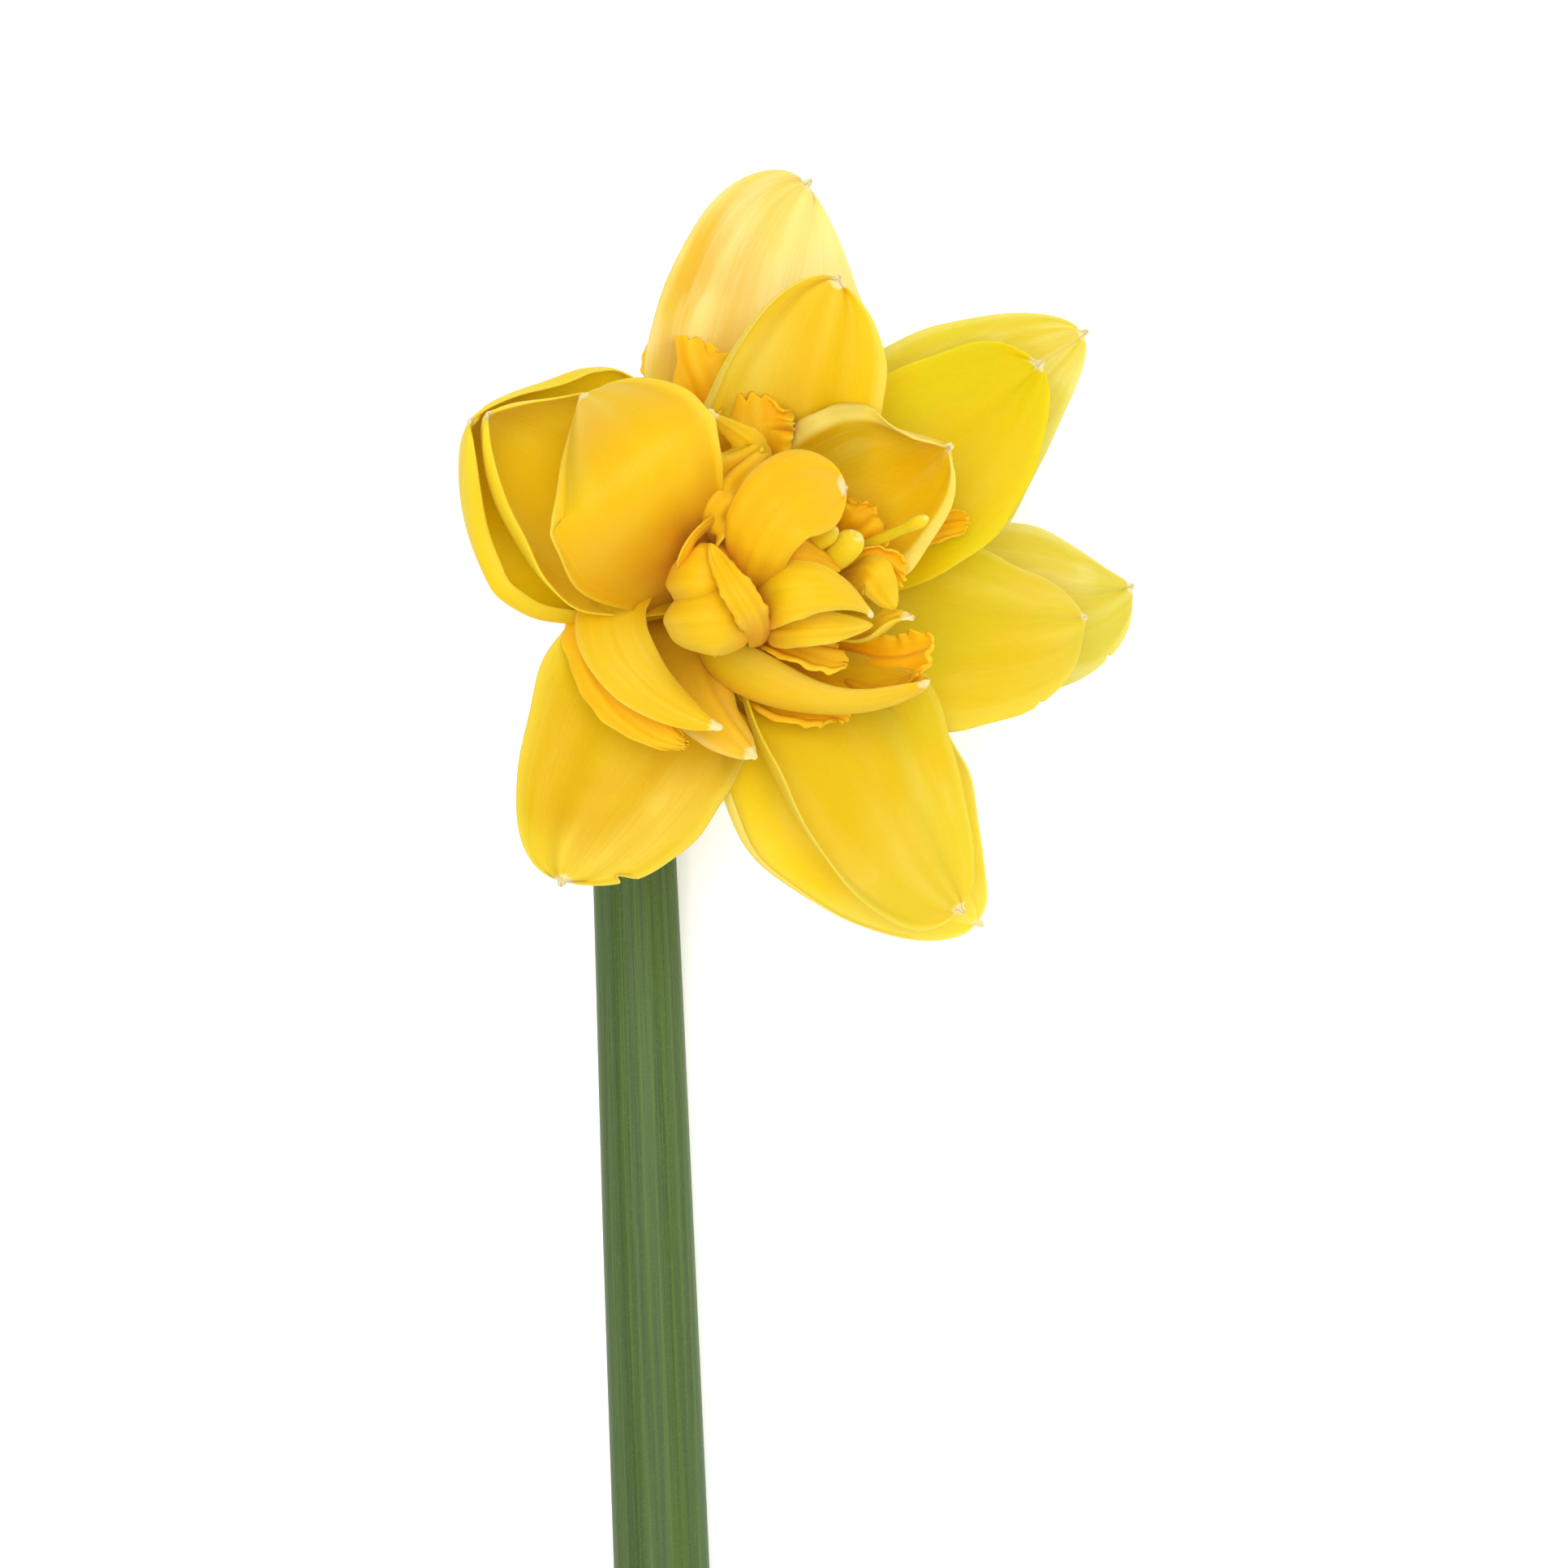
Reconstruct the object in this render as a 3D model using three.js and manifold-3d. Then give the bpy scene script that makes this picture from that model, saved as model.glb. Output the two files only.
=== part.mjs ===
// A cut double daffodil laid on a flat surface. The bloom looks up and a little to one side, and
// its long green stem lies along -Y. It rests on the knee of the stem, on the stem's cut foot and
// on the tip of one outer tepal.
//
// Everything is shaped in the bloom's own frame, in millimetres: the origin is in the middle of
// the throat, +Y points away from the stem's foot, and +Z points out of the flower's face. The
// last section rolls that frame about the stem and sets it down on the surface.

import * as THREE from 'three';
import Module from 'manifold-3d';

// ---------------------------------------------------------------------------------------------
// Driving dimensions, in millimetres and degrees
// ---------------------------------------------------------------------------------------------

const BLOOM_LEAN = 20; // the bloom's axis leans this far from +Z towards +X
const RESTING_ROLL = 20; // the flower is rolled this far about +Y as it lies
const GAP = 0.3; // clear space left between neighbouring pieces

const TEPAL_THICKNESS = 0.7;
const PETALOID_THICKNESS = 0.6;

const OUTER_RING = { radius: 6.5, height: 1.2 }; // where the outer tepals spring from
const INNER_RING = { radius: 5.0, height: 2.2 };

const BLADE_SWELLING = 0.25; // how far a blade's face swells up and down
const HORN_HALF_WIDTH = 0.5; // the small horn at a blade's tip, where it starts
const HORN_TIP_HALF_WIDTH = 0.25;

const TUBE_LENGTH = 18;
const TUBE_NECK_RADIUS = 4.3;
const THROAT_RADIUS = 7.8;
const THROAT_RIM = 2; // how far in from the edge the throat's slope ends

const CORE_RADIUS = 5.2;
const CORE_NECK_RADIUS = 3.4;
const CORE_FOOT_RADIUS = 2.6;
const CORE_FOOT = 1.0;
const CORE_NECK = 5;
const CORE_SHOULDER = 9; // where the core's dome starts
const CORE_TOP = 22;

const OVARY_LENGTH = 12;
const OVARY_RADIUS = 5.4;
const OVARY_END_RADIUS = 3.6;

const STEM_NECK_RADIUS = 4.6;
const STEM_FOOT_RADIUS = 6.1;
const STEM_KEEL = 0.05; // the two keels of the stem stand out by this share of its radius
const STEM_RIB = 0.015; // and its fine ribs by this share
const STEM_RIBS = 8;

// ---------------------------------------------------------------------------------------------
// Colours
// ---------------------------------------------------------------------------------------------

function finish(color, roughness) {
  return new THREE.MeshStandardMaterial({ color, roughness, metalness: 0 });
}

const FINISHES = {
  tepal: finish('#f3cf2f', 0.55),
  petaloid: finish('#fac92b', 0.55),
  corona: finish('#f7a70f', 0.55),
  tube: finish('#c9b437', 0.6),
  ovary: finish('#6f8f3f', 0.5),
  stem: finish('#58733b', 0.5),
  sheath: finish('#b59a6b', 0.8),
};

// ---------------------------------------------------------------------------------------------
// The blades: tepals, petaloids and corona frills
//
// Each blade has a midrib, which is a cubic curve, and a half-width on either side of it.
// `through` gives four points that the midrib passes at even steps, and `handles` gives the
// curve's own control points. `facing` is the side of the blade's root that looks inwards.
// `cup` is how far each margin has turned towards that side, in degrees, at the root, the middle
// and the tip; a negative cup rolls the margins back. `widest` is where along the blade it is
// widest, `base` its width there at the root as a share, `blunt` how square its end is, `point`
// the length of the small horn at the tip, `wave` the height and number of the waves of the
// margin, and `jag` the depth of its teeth as a share of the width.
// ---------------------------------------------------------------------------------------------

const BLADE_DEFAULTS = { base: 0.25, blunt: 2.3, point: 1.2, wave: [0.3, 2], jag: 0 };

// The large petaloids round the middle of the bloom.
const PETALOIDS = [
  {
    name: 'petaloid_arched', through: [[-3, 3, 5], [-7, 6, 33], [-12.5, 10, 39], [-17, 19.5, 26]],
    facing: [0.7, -0.4, 0.3], halfWidth: [13.5, 12], cup: [20, -35, -45], widest: 0.55, blunt: 2.6,
  },
  {
    name: 'petaloid_spoon', through: [[5, 4, 3], [7.5, 6.5, 13], [15, 10, 14], [22.5, 14, 24]],
    facing: [-0.6, -0.3, 0.8], halfWidth: [9.5, 10], cup: [50, 60, 50], widest: 0.58, blunt: 1.6,
  },
  {
    name: 'petaloid_boat', through: [[1, -3, 4], [-2.5, -11, 14], [8.5, -14.5, 15], [20, -11, 25]],
    facing: [0, 0.8, 0.5], halfWidth: [7.5, 5.6], cup: [40, 85, 60], widest: 0.55, base: 0.3,
  },
  {
    name: 'petaloid_hooked', handles: [[-3, -1, 8], [-18.5, 5, 22], [-23, -12, 24], [-2, -16, 25]],
    facing: [0.4, 0.9, 0], halfWidth: [4.2, 4.6], cup: [0, -20, -20], widest: 0.66, base: 0.3,
  },
];

// The small crowded petaloids of the heart.
const HEART = [
  {
    name: 'heart_tongue', through: [[0, 0, 12], [1, 5, 30], [6, 9, 35], [11.5, 9.5, 30]],
    facing: [-0.5, 0.3, 0.8], halfWidth: [4.6, 4.8], cup: [-20, -30, -20], widest: 0.66, base: 0.5,
    blunt: 3,
  },
  {
    name: 'heart_hood', through: [[3, -3, 14], [3.5, -1.5, 30], [8.5, -1, 33], [14, -4.5, 27]],
    facing: [-0.5, 0.3, 0.8], halfWidth: [3.2, 3.4], cup: [-20, -30, -20], widest: 0.5, base: 0.4,
  },
  {
    name: 'heart_shell_lower', through: [[1, -3, 16], [-0.5, -4.5, 33], [-4, -5, 33], [-7, -5.5, 22]],
    facing: [0.9, 0, 0.4], halfWidth: [4.6, 4.8], cup: [-20, -60, -70], widest: 0.5, base: 0.8,
    blunt: 2.6, point: 0.3,
  },
  {
    name: 'heart_shell_upper', through: [[-1, 1, 16], [-2.5, 0.5, 32], [-5.5, -0.5, 33], [-8, -1, 23]],
    facing: [0.9, 0, 0.4], halfWidth: [3.4, 3.2], cup: [-20, -40, -40], widest: 0.5, base: 0.8,
    blunt: 2.6, point: 0.3,
  },
  {
    name: 'heart_scale', through: [[4, 1, 14], [4, 1.5, 28], [7, 2.5, 30], [11, 0.5, 27]],
    facing: [-0.5, 0.3, 0.8], halfWidth: [2.2, 2.2], cup: [-20, -30, -20], widest: 0.5,
  },
  {
    name: 'heart_lip', through: [[3, -5, 12], [4, -7, 24], [8.5, -6.5, 27], [14, -5, 25]],
    facing: [-0.5, 0.3, 0.8], halfWidth: [1.8, 1.8], cup: [-20, -30, -20], widest: 0.5,
  },
  {
    name: 'heart_small_tongue',
    through: [[8.5, -0.5, 12], [13, 0.5, 24], [14.5, -0.5, 26], [16.5, -3.5, 24]],
    facing: [-0.5, 0.3, 0.8], halfWidth: [2, 2], cup: [-20, -30, -20], widest: 0.5,
  },
  {
    name: 'heart_small_boat', through: [[6, -3, 8], [13, -6, 20], [16, -5, 24], [18.5, -4.5, 25]],
    facing: [-0.2, 0.3, 0.8], halfWidth: [2, 2], cup: [40, 60, 40], widest: 0.5,
  },
  {
    name: 'heart_strap', through: [[0, -1, 20], [-0.5, 0, 35.5], [-1.5, 1.5, 36], [-3.5, 3.5, 33]],
    facing: [0.5, -0.3, 0.8], halfWidth: [1.8, 1.8], cup: [-20, 30, -30], widest: 0.5, base: 0.6,
    point: 0.3,
  },
  {
    name: 'heart_folded_point', through: [[-3, 2, 16], [-5.5, 1.5, 30], [-4.5, 4, 32], [-2, 6, 28]],
    facing: [0.5, -0.3, 0.8], halfWidth: [1.7, 1.7], cup: [-20, -30, -30], widest: 0.5, base: 0.6,
    point: 0.3,
  },
  {
    name: 'petaloid_sliver', through: [[0, 4, 6], [-1.5, 12.5, 21], [-2, 15.5, 24], [-3.5, 17.5, 25]],
    facing: [0.3, -0.3, 0.8], halfWidth: [1.8, 1.8], cup: [-10, -20, -10], widest: 0.6,
  },
  {
    name: 'petaloid_underlobe',
    through: [[-3, -3, 5], [-6, -11, 13], [-2.5, -16, 18], [1.5, -19.5, 19]], facing: [0, 0.2, 0.9],
    halfWidth: [2.4, 2.4], cup: [0, -10, -20], widest: 0.7,
  },
];

// The orange, frilled strips that the split corona left among the petaloids.
const CORONA = [
  {
    name: 'corona_crumple', through: [[-2, 3, 12], [-4, 6, 27], [-2, 10, 29], [1.5, 13, 27]],
    facing: [0.5, -0.3, 0.8], halfWidth: [2.6, 2.6], cup: [0, 20, 0], widest: 0.5, base: 0.6,
    point: 0.3, wave: [0.9, 3],
  },
  {
    name: 'corona_frill_front', through: [[2, -4, 9], [3.5, -7, 16], [6.5, -8, 19.5], [9, -9, 19.5]],
    facing: [-0.2, 0.3, 0.8], halfWidth: [3.2, 2.6], cup: [0, 20, 10], widest: 0.7, base: 0.4,
    blunt: 4, point: 0.2, jag: 0.06,
  },
  {
    name: 'corona_frill_right',
    through: [[8.5, -1.5, 9], [12, 0.5, 20], [14.5, 1, 22], [17, -0.5, 22]], facing: [-0.4, -0.3, 0.8],
    halfWidth: [2.8, 2.8], cup: [0, 20, 10], widest: 0.7, base: 0.3, blunt: 4, point: 0.2, jag: 0.06,
  },
  {
    name: 'corona_frill_right_upper',
    through: [[7.5, 3, 8], [11.5, 4.5, 18], [13.5, 6, 20], [14.5, 7, 20]], facing: [-0.4, -0.3, 0.8],
    halfWidth: [3.4, 3.4], cup: [0, 20, 10], widest: 0.7, base: 0.3, blunt: 4, point: 0.2, jag: 0.06,
  },
  {
    name: 'corona_frill_lower_right',
    through: [[6, -4, 5], [13, -9, 12], [17.5, -9.5, 16], [20, -8.5, 20]], facing: [-0.3, 0.2, 0.9],
    halfWidth: [3.6, 3.6], cup: [0, 30, 20], widest: 0.7, base: 0.4, blunt: 4, point: 0.2, jag: 0.06,
  },
  {
    name: 'corona_frill_lower_left',
    through: [[-2, -5, 3], [-4, -12, 8], [-1.5, -15, 11], [2, -18, 12]], facing: [0, 0.2, 0.9],
    halfWidth: [2.6, 2.6], cup: [0, 10, 0], widest: 0.6, base: 0.5, blunt: 4, point: 0.2, jag: 0.06,
  },
  {
    name: 'corona_frill_top',
    through: [[2, 5, 6], [1.5, 13.5, 19.5], [1.5, 16.5, 20.5], [1.5, 19, 20.5]],
    facing: [0, -0.3, 0.8], halfWidth: [5, 5], cup: [0, 10, 0], widest: 0.7, base: 0.4, blunt: 4,
    point: 0.2, jag: 0.06,
  },
  {
    name: 'corona_frill_left',
    handles: [[-4, -2, 5], [-20.5, 5.5, 19], [-24.5, -14, 21], [-5, -18.5, 22]], facing: [0.4, 0.9, 0],
    halfWidth: [4, 4.8], cup: [0, -10, -20], widest: 0.66, base: 0.3, point: 0.3, jag: 0.06,
  },
  {
    name: 'corona_frill_top_left',
    through: [[-1, 5, 5], [-3, 17.5, 12], [-4.5, 22.5, 13], [-5.5, 25.5, 13]], facing: [0, -0.3, 0.8],
    halfWidth: [3.8, 4.4], cup: [0, 10, 0], widest: 0.7, base: 0.4, blunt: 3, point: 0.2, jag: 0.05,
  },
  {
    name: 'corona_frill_bottom',
    through: [[2, -6, 3], [3, -12.5, 10.5], [6.5, -14.5, 11.5], [10.5, -15.5, 11.5]],
    facing: [0, 0.2, 0.9], halfWidth: [3.6, 3.6], cup: [0, 10, 0], widest: 0.6, base: 0.5, blunt: 4,
    point: 0.2, jag: 0.06,
  },
  {
    name: 'corona_frill_far_right',
    through: [[6, 2, 3], [14.5, 3.5, 9], [20, 5.5, 10], [24.5, 6.5, 11]], facing: [-0.3, -0.2, 0.9],
    halfWidth: [1.6, 1.6], cup: [0, 10, 0], widest: 0.7, base: 0.4, blunt: 4, point: 0.2, jag: 0.06,
  },
];

// The whorls. `azimuth` is where on its ring a tepal springs from, `rise` the length of its first
// handle and `lean` how far that handle leans outwards from the bloom's axis.
const INNER_TEPALS = [
  {
    name: 'tepal_inner_top', azimuth: 85, rise: 12, lean: 12, elbow: [5.5, 25, 20],
    tip: [10.4, 32.4, 20], halfWidth: [9.2, 9.6], cup: [60, 30, 35], widest: 0.55,
  },
  {
    name: 'tepal_inner_upper_right', azimuth: 30, rise: 12, lean: 25, elbow: [24.5, 17, 8],
    tip: [33.1, 24.6, 2], halfWidth: [9.6, 8], cup: [60, 25, 20], widest: 0.54,
  },
  {
    name: 'tepal_inner_right', azimuth: -12, rise: 12, lean: 30, elbow: [28, -9, -1],
    tip: [38.6, -3.7, -9], halfWidth: [10, 10.5], cup: [60, 20, 15], widest: 0.56,
  },
  {
    name: 'tepal_inner_lower_right', azimuth: -62, rise: 12, lean: 25, elbow: [15.5, -27, 8],
    tip: [24, -36, 1], halfWidth: [8, 9.2], cup: [60, 30, 35], widest: 0.58, blunt: 2.6,
  },
  {
    name: 'tepal_inner_left', azimuth: 172, rise: 12, lean: 15, elbow: [-28, 2, 14],
    tip: [-26.8, 17.2, 30], halfWidth: [12, 12], cup: [60, 75, 70], cupRight: [50, 60, 60],
    widest: 0.6,
  },
];

const OUTER_TEPALS = [
  {
    name: 'tepal_outer_top', azimuth: 105, rise: 10, lean: 20, elbow: [-5, 28, 8], tip: [7.4, 44.4, 4],
    halfWidth: [11, 11.8], cup: [60, 22, 25], widest: 0.52, blunt: 2.4,
  },
  {
    name: 'tepal_outer_upper_right', azimuth: 35, rise: 10, lean: 30, elbow: [25, 20.5, -2],
    tip: [38.7, 28.5, -8], halfWidth: [10.4, 9.8], cup: [60, 20, 15], widest: 0.52, blunt: 1.6,
  },
  {
    name: 'tepal_outer_right', azimuth: -5, rise: 10, lean: 35, elbow: [34, -7, -14],
    tip: [44.5, 0, -21.5], halfWidth: [8.6, 9.5], cup: [60, 20, 20], widest: 0.55, blunt: 1.8,
  },
  {
    name: 'tepal_outer_lower_right', azimuth: -60, rise: 10, lean: 30, elbow: [15.5, -29.5, 0],
    tip: [26.8, -38.1, -6], halfWidth: [10.8, 11.5], cup: [60, 25, 40], widest: 0.58, blunt: 2.4,
  },
  {
    name: 'tepal_outer_lower_left', azimuth: -125, rise: 10, lean: 20, elbow: [-13.5, -24.5, 15],
    tip: [-19.9, -33.6, 12], halfWidth: [9, 12.4], cup: [60, 15, 20], widest: 0.6, blunt: 2.8,
  },
  {
    name: 'tepal_outer_left', azimuth: 180, rise: 10, lean: 20, elbow: [-31, -8, 9.5],
    tip: [-28.6, 16.6, 29.5], halfWidth: [13, 15], cup: [60, 95, 90], cupRight: [50, 50, 60],
    widest: 0.6,
  },
];

// The papery sheath that the bud came out of, still wrapped round one side of the neck.
const SHEATH = {
  name: 'papery_sheath', through: [[-19.4, -15, -35.5], [-20, -4, -33], [-19.5, 9, -31], [-15, 21, -30]],
  facing: [1, 0, 0.1], halfWidth: [6.5, 3.5], cup: [50, 45, 60], widest: 0.35, base: 0.7, blunt: 1.5,
  point: 3,
};

// The two unopened buds of petaloids and the one thread among the heart's pieces. Each is a
// round-ended club along a line, given by its ends, by its radii at the foot, the neck and the
// head, and by the share of its length that the head takes.
const CLUBS = [
  { name: 'heart_bud_large', from: [8, 3, 12], to: [12.5, 3, 28.5], radii: [0.8, 0.9, 2.0], head: 0.3 },
  { name: 'heart_bud_small', from: [6.5, 5, 12], to: [9.5, 4.5, 28], radii: [0.7, 0.8, 1.5], head: 0.25 },
  { name: 'heart_thread', from: [9, 2.5, 13], to: [20, 6, 26.5], radii: [0.6, 0.6, 0.8], head: 0.15 },
];

// ---------------------------------------------------------------------------------------------
// Small mathematics
// ---------------------------------------------------------------------------------------------

const GOLDEN_TURN = 2.399963; // radians; spreads the phases of neighbouring blades evenly

const radians = THREE.MathUtils.degToRad;
const clamp01 = (value) => THREE.MathUtils.clamp(value, 0, 1);
const smooth = (value) => THREE.MathUtils.smoothstep(value, 0, 1);
const vector = ([x, y, z]) => new THREE.Vector3(x, y, z);

const BLOOM_AXIS = new THREE.Vector3(Math.sin(radians(BLOOM_LEAN)), 0, Math.cos(radians(BLOOM_LEAN)));
const BLOOM_RIGHT = new THREE.Vector3(Math.cos(radians(BLOOM_LEAN)), 0, -Math.sin(radians(BLOOM_LEAN)));
const BLOOM_UP = new THREE.Vector3(0, 1, 0);

// A value that runs smoothly from `atRoot` through `atMiddle` to `atTip` along a blade.
function alongBlade([atRoot, atMiddle, atTip], t) {
  return atRoot + (atMiddle - atRoot) * smooth(2 * t) + (atTip - atMiddle) * smooth(2 * t - 1);
}

// The cubic curve that passes through four points at even steps of its parameter.
function cubicThrough([p0, p1, p2, p3]) {
  const a = p1.clone().sub(p0.clone().multiplyScalar(8 / 27)).sub(p3.clone().multiplyScalar(1 / 27));
  const b = p2.clone().sub(p0.clone().multiplyScalar(1 / 27)).sub(p3.clone().multiplyScalar(8 / 27));
  const handle1 = a.clone().multiplyScalar(3).sub(b.clone().multiplyScalar(1.5));
  const handle2 = b.clone().multiplyScalar(3).sub(a.clone().multiplyScalar(1.5));
  return new THREE.CubicBezierCurve3(p0, handle1, handle2, p3);
}

// ---------------------------------------------------------------------------------------------
// Blades
// ---------------------------------------------------------------------------------------------

// The midrib and facing of a tepal that springs from a ring round the throat.
function tepalOnRing(tepal, ring) {
  const azimuth = radians(tepal.azimuth);
  const outward = BLOOM_RIGHT.clone().multiplyScalar(Math.cos(azimuth))
    .addScaledVector(BLOOM_UP, Math.sin(azimuth));
  const root = outward.clone().multiplyScalar(ring.radius).addScaledVector(BLOOM_AXIS, ring.height);
  const lean = radians(tepal.lean);
  const firstDirection = BLOOM_AXIS.clone().multiplyScalar(Math.cos(lean))
    .addScaledVector(outward, Math.sin(lean));
  const handle = root.clone().addScaledVector(firstDirection, tepal.rise);
  return {
    midrib: new THREE.CubicBezierCurve3(root, handle, vector(tepal.elbow), vector(tepal.tip)),
    facing: outward.negate(),
  };
}

// The midrib and facing of a blade whose midrib is given outright.
function bladeInPlace(blade) {
  const midrib = blade.through
    ? cubicThrough(blade.through.map(vector))
    : new THREE.CubicBezierCurve3(...blade.handles.map(vector));
  return { midrib, facing: vector(blade.facing) };
}

// The half-width of a blade as a share of its greatest half-width, `t` of the way to the horn.
function outlineShare(blade, t) {
  const opening = blade.base + (1 - blade.base) * Math.sin((Math.PI / 2) * clamp01(t / blade.widest));
  const closing = clamp01((t - blade.widest) / (1 - blade.widest));
  return opening * Math.sqrt(Math.max(0, 1 - closing ** blade.blunt));
}

// The points of a blade's middle surface, in rows from root to tip. `side` runs from -1 at the
// left margin, seen from the inner face with the tip up, to 1 at the right.
function bladeSurface(blade, midrib, facing, phase, rows, columns) {
  const hornStart = 1 - blade.point / midrib.getLength();
  const cupRight = blade.cupRight ?? blade.cup;
  const inward = facing.clone();
  const surface = [];
  let carriedTo = 0;
  for (let row = 0; row <= rows; row += 1) {
    const body = row / (rows - 1);
    const t = row === rows ? 1 : hornStart * (body + 0.1 * Math.sin(Math.PI * body));
    const tangent = tangentOf(midrib, t);
    carryAlong(inward, midrib, carriedTo, t);
    carriedTo = t;
    const sideways = tangent.clone().cross(inward);
    const share = row === rows ? 0 : outlineShare(blade, clamp01(t / hornStart));
    const horn = row === rows ? HORN_TIP_HALF_WIDTH : HORN_HALF_WIDTH * (t / hornStart) ** 30;
    const line = [];
    for (let column = 0; column <= columns; column += 1) {
      const side = (2 * column) / columns - 1;
      const greatest = side < 0 ? blade.halfWidth[0] : blade.halfWidth[1];
      const halfWidth = Math.hypot(greatest * share, horn);
      const halfTurn = radians(alongBlade(side < 0 ? blade.cup : cupRight, t));
      const section = arcSection(halfWidth, halfTurn, side);
      const lift = section.lift + ripple(blade, t, side, halfWidth, phase);
      const across = section.across * (1 + blade.jag * teeth(t, side, phase));
      line.push(midrib.getPoint(t).addScaledVector(sideways, across).addScaledVector(inward, lift));
    }
    surface.push(line);
  }
  return surface;
}

// The direction of a curve by its own parameter, which stays true where two handles meet.
function tangentOf(curve, t) {
  const step = 1e-4;
  const ahead = curve.getPoint(Math.min(1, t + step));
  return ahead.sub(curve.getPoint(Math.max(0, t - step))).normalize();
}

// Carries a direction along a curve without letting it twist, keeping it square to the curve.
function carryAlong(direction, curve, from, to) {
  const steps = 12;
  for (let step = 0; step <= steps; step += 1) {
    const tangent = tangentOf(curve, from + ((to - from) * step) / steps);
    direction.addScaledVector(tangent, -direction.dot(tangent)).normalize();
  }
}

// A point of a circular arc whose margins have turned by `halfTurn` over `halfWidth`.
function arcSection(halfWidth, halfTurn, side) {
  if (Math.abs(halfTurn) < 1e-3) {
    return { across: halfWidth * side, lift: 0 };
  }
  const turned = halfTurn * side;
  return {
    across: (halfWidth * Math.sin(turned)) / halfTurn,
    lift: (halfWidth * (1 - Math.cos(turned))) / halfTurn,
  };
}

// The waves of a blade's margins and the slow swelling of its face, above the plain arc.
function ripple(blade, t, side, halfWidth, phase) {
  const fadeIn = clamp01(3 * t) * clamp01(halfWidth / 3);
  const [height, count] = blade.wave;
  const otherMargin = side < 0 ? 1.9 : 0;
  const turns = 2 * Math.PI * count * t + phase + otherMargin;
  const margin = height * Math.abs(side) ** 2.5 * Math.sin(turns);
  const slow = Math.sin(3 * t + 1.4 * side + phase);
  const quick = Math.sin(5 * t - 2.2 * side + 2 * phase);
  return fadeIn * (margin + BLADE_SWELLING * (slow + 0.6 * quick));
}

// The uneven teeth of a frilled margin, as a share of its depth.
function teeth(t, side, phase) {
  return Math.abs(side) ** 6 * (Math.sin(23 * t + phase) + 0.6 * Math.sin(41 * t + 2 * phase));
}

// ---------------------------------------------------------------------------------------------
// Closed geometry
// ---------------------------------------------------------------------------------------------

function geometryFrom(points, triangles) {
  const geometry = new THREE.BufferGeometry();
  const coordinates = points.flatMap((point) => [point.x, point.y, point.z]);
  geometry.setAttribute('position', new THREE.Float32BufferAttribute(coordinates, 3));
  geometry.setIndex(triangles.flat());
  geometry.computeVertexNormals();
  return geometry;
}

// Pushes the border of a surface outwards in its own plane, so that a copy reaches past it.
function widened(surface, reach) {
  const wide = surface.map((line) => line.map((point) => point.clone()));
  const last = surface.length - 1;
  surface.forEach((line, row) => {
    const end = line.length - 1;
    wide[row][0].addScaledVector(line[0].clone().sub(line[1]).normalize(), reach);
    wide[row][end].addScaledVector(line[end].clone().sub(line[end - 1]).normalize(), reach);
  });
  wide[0].forEach((point, column) => {
    point.addScaledVector(surface[0][column].clone().sub(surface[1][column]).normalize(), reach);
    const beyondTip = surface[last][column].clone().sub(surface[last - 1][column]).normalize();
    wide[last][column].addScaledVector(beyondTip, reach);
  });
  return wide;
}

// A sheet of even thickness about a surface. Both faces are split into triangles alike.
function sheet(surface, thickness) {
  const rows = surface.length;
  const columns = surface[0].length;
  const front = [];
  const back = [];
  for (let row = 0; row < rows; row += 1) {
    for (let column = 0; column < columns; column += 1) {
      const along = surface[Math.min(row + 1, rows - 1)][column].clone()
        .sub(surface[Math.max(row - 1, 0)][column]);
      const across = surface[row][Math.min(column + 1, columns - 1)].clone()
        .sub(surface[row][Math.max(column - 1, 0)]);
      const normal = along.cross(across).normalize();
      front.push(surface[row][column].clone().addScaledVector(normal, -thickness / 2));
      back.push(surface[row][column].clone().addScaledVector(normal, thickness / 2));
    }
  }
  const at = (row, column) => row * columns + column;
  const behind = rows * columns;
  const triangles = [];
  for (let row = 0; row < rows - 1; row += 1) {
    for (let column = 0; column < columns - 1; column += 1) {
      const a = at(row, column);
      const b = at(row, column + 1);
      const c = at(row + 1, column + 1);
      const d = at(row + 1, column);
      triangles.push([a, b, c], [a, c, d]);
      triangles.push([behind + a, behind + c, behind + b], [behind + a, behind + d, behind + c]);
    }
  }
  const border = [];
  for (let column = 0; column < columns - 1; column += 1) {
    border.push(at(0, column));
  }
  for (let row = 0; row < rows - 1; row += 1) {
    border.push(at(row, columns - 1));
  }
  for (let column = columns - 1; column > 0; column -= 1) {
    border.push(at(rows - 1, column));
  }
  for (let row = rows - 1; row > 0; row -= 1) {
    border.push(at(row, 0));
  }
  border.forEach((here, index) => {
    const next = border[(index + 1) % border.length];
    triangles.push([here, behind + here, behind + next], [here, behind + next, next]);
  });
  return geometryFrom([...front, ...back], triangles);
}

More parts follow.
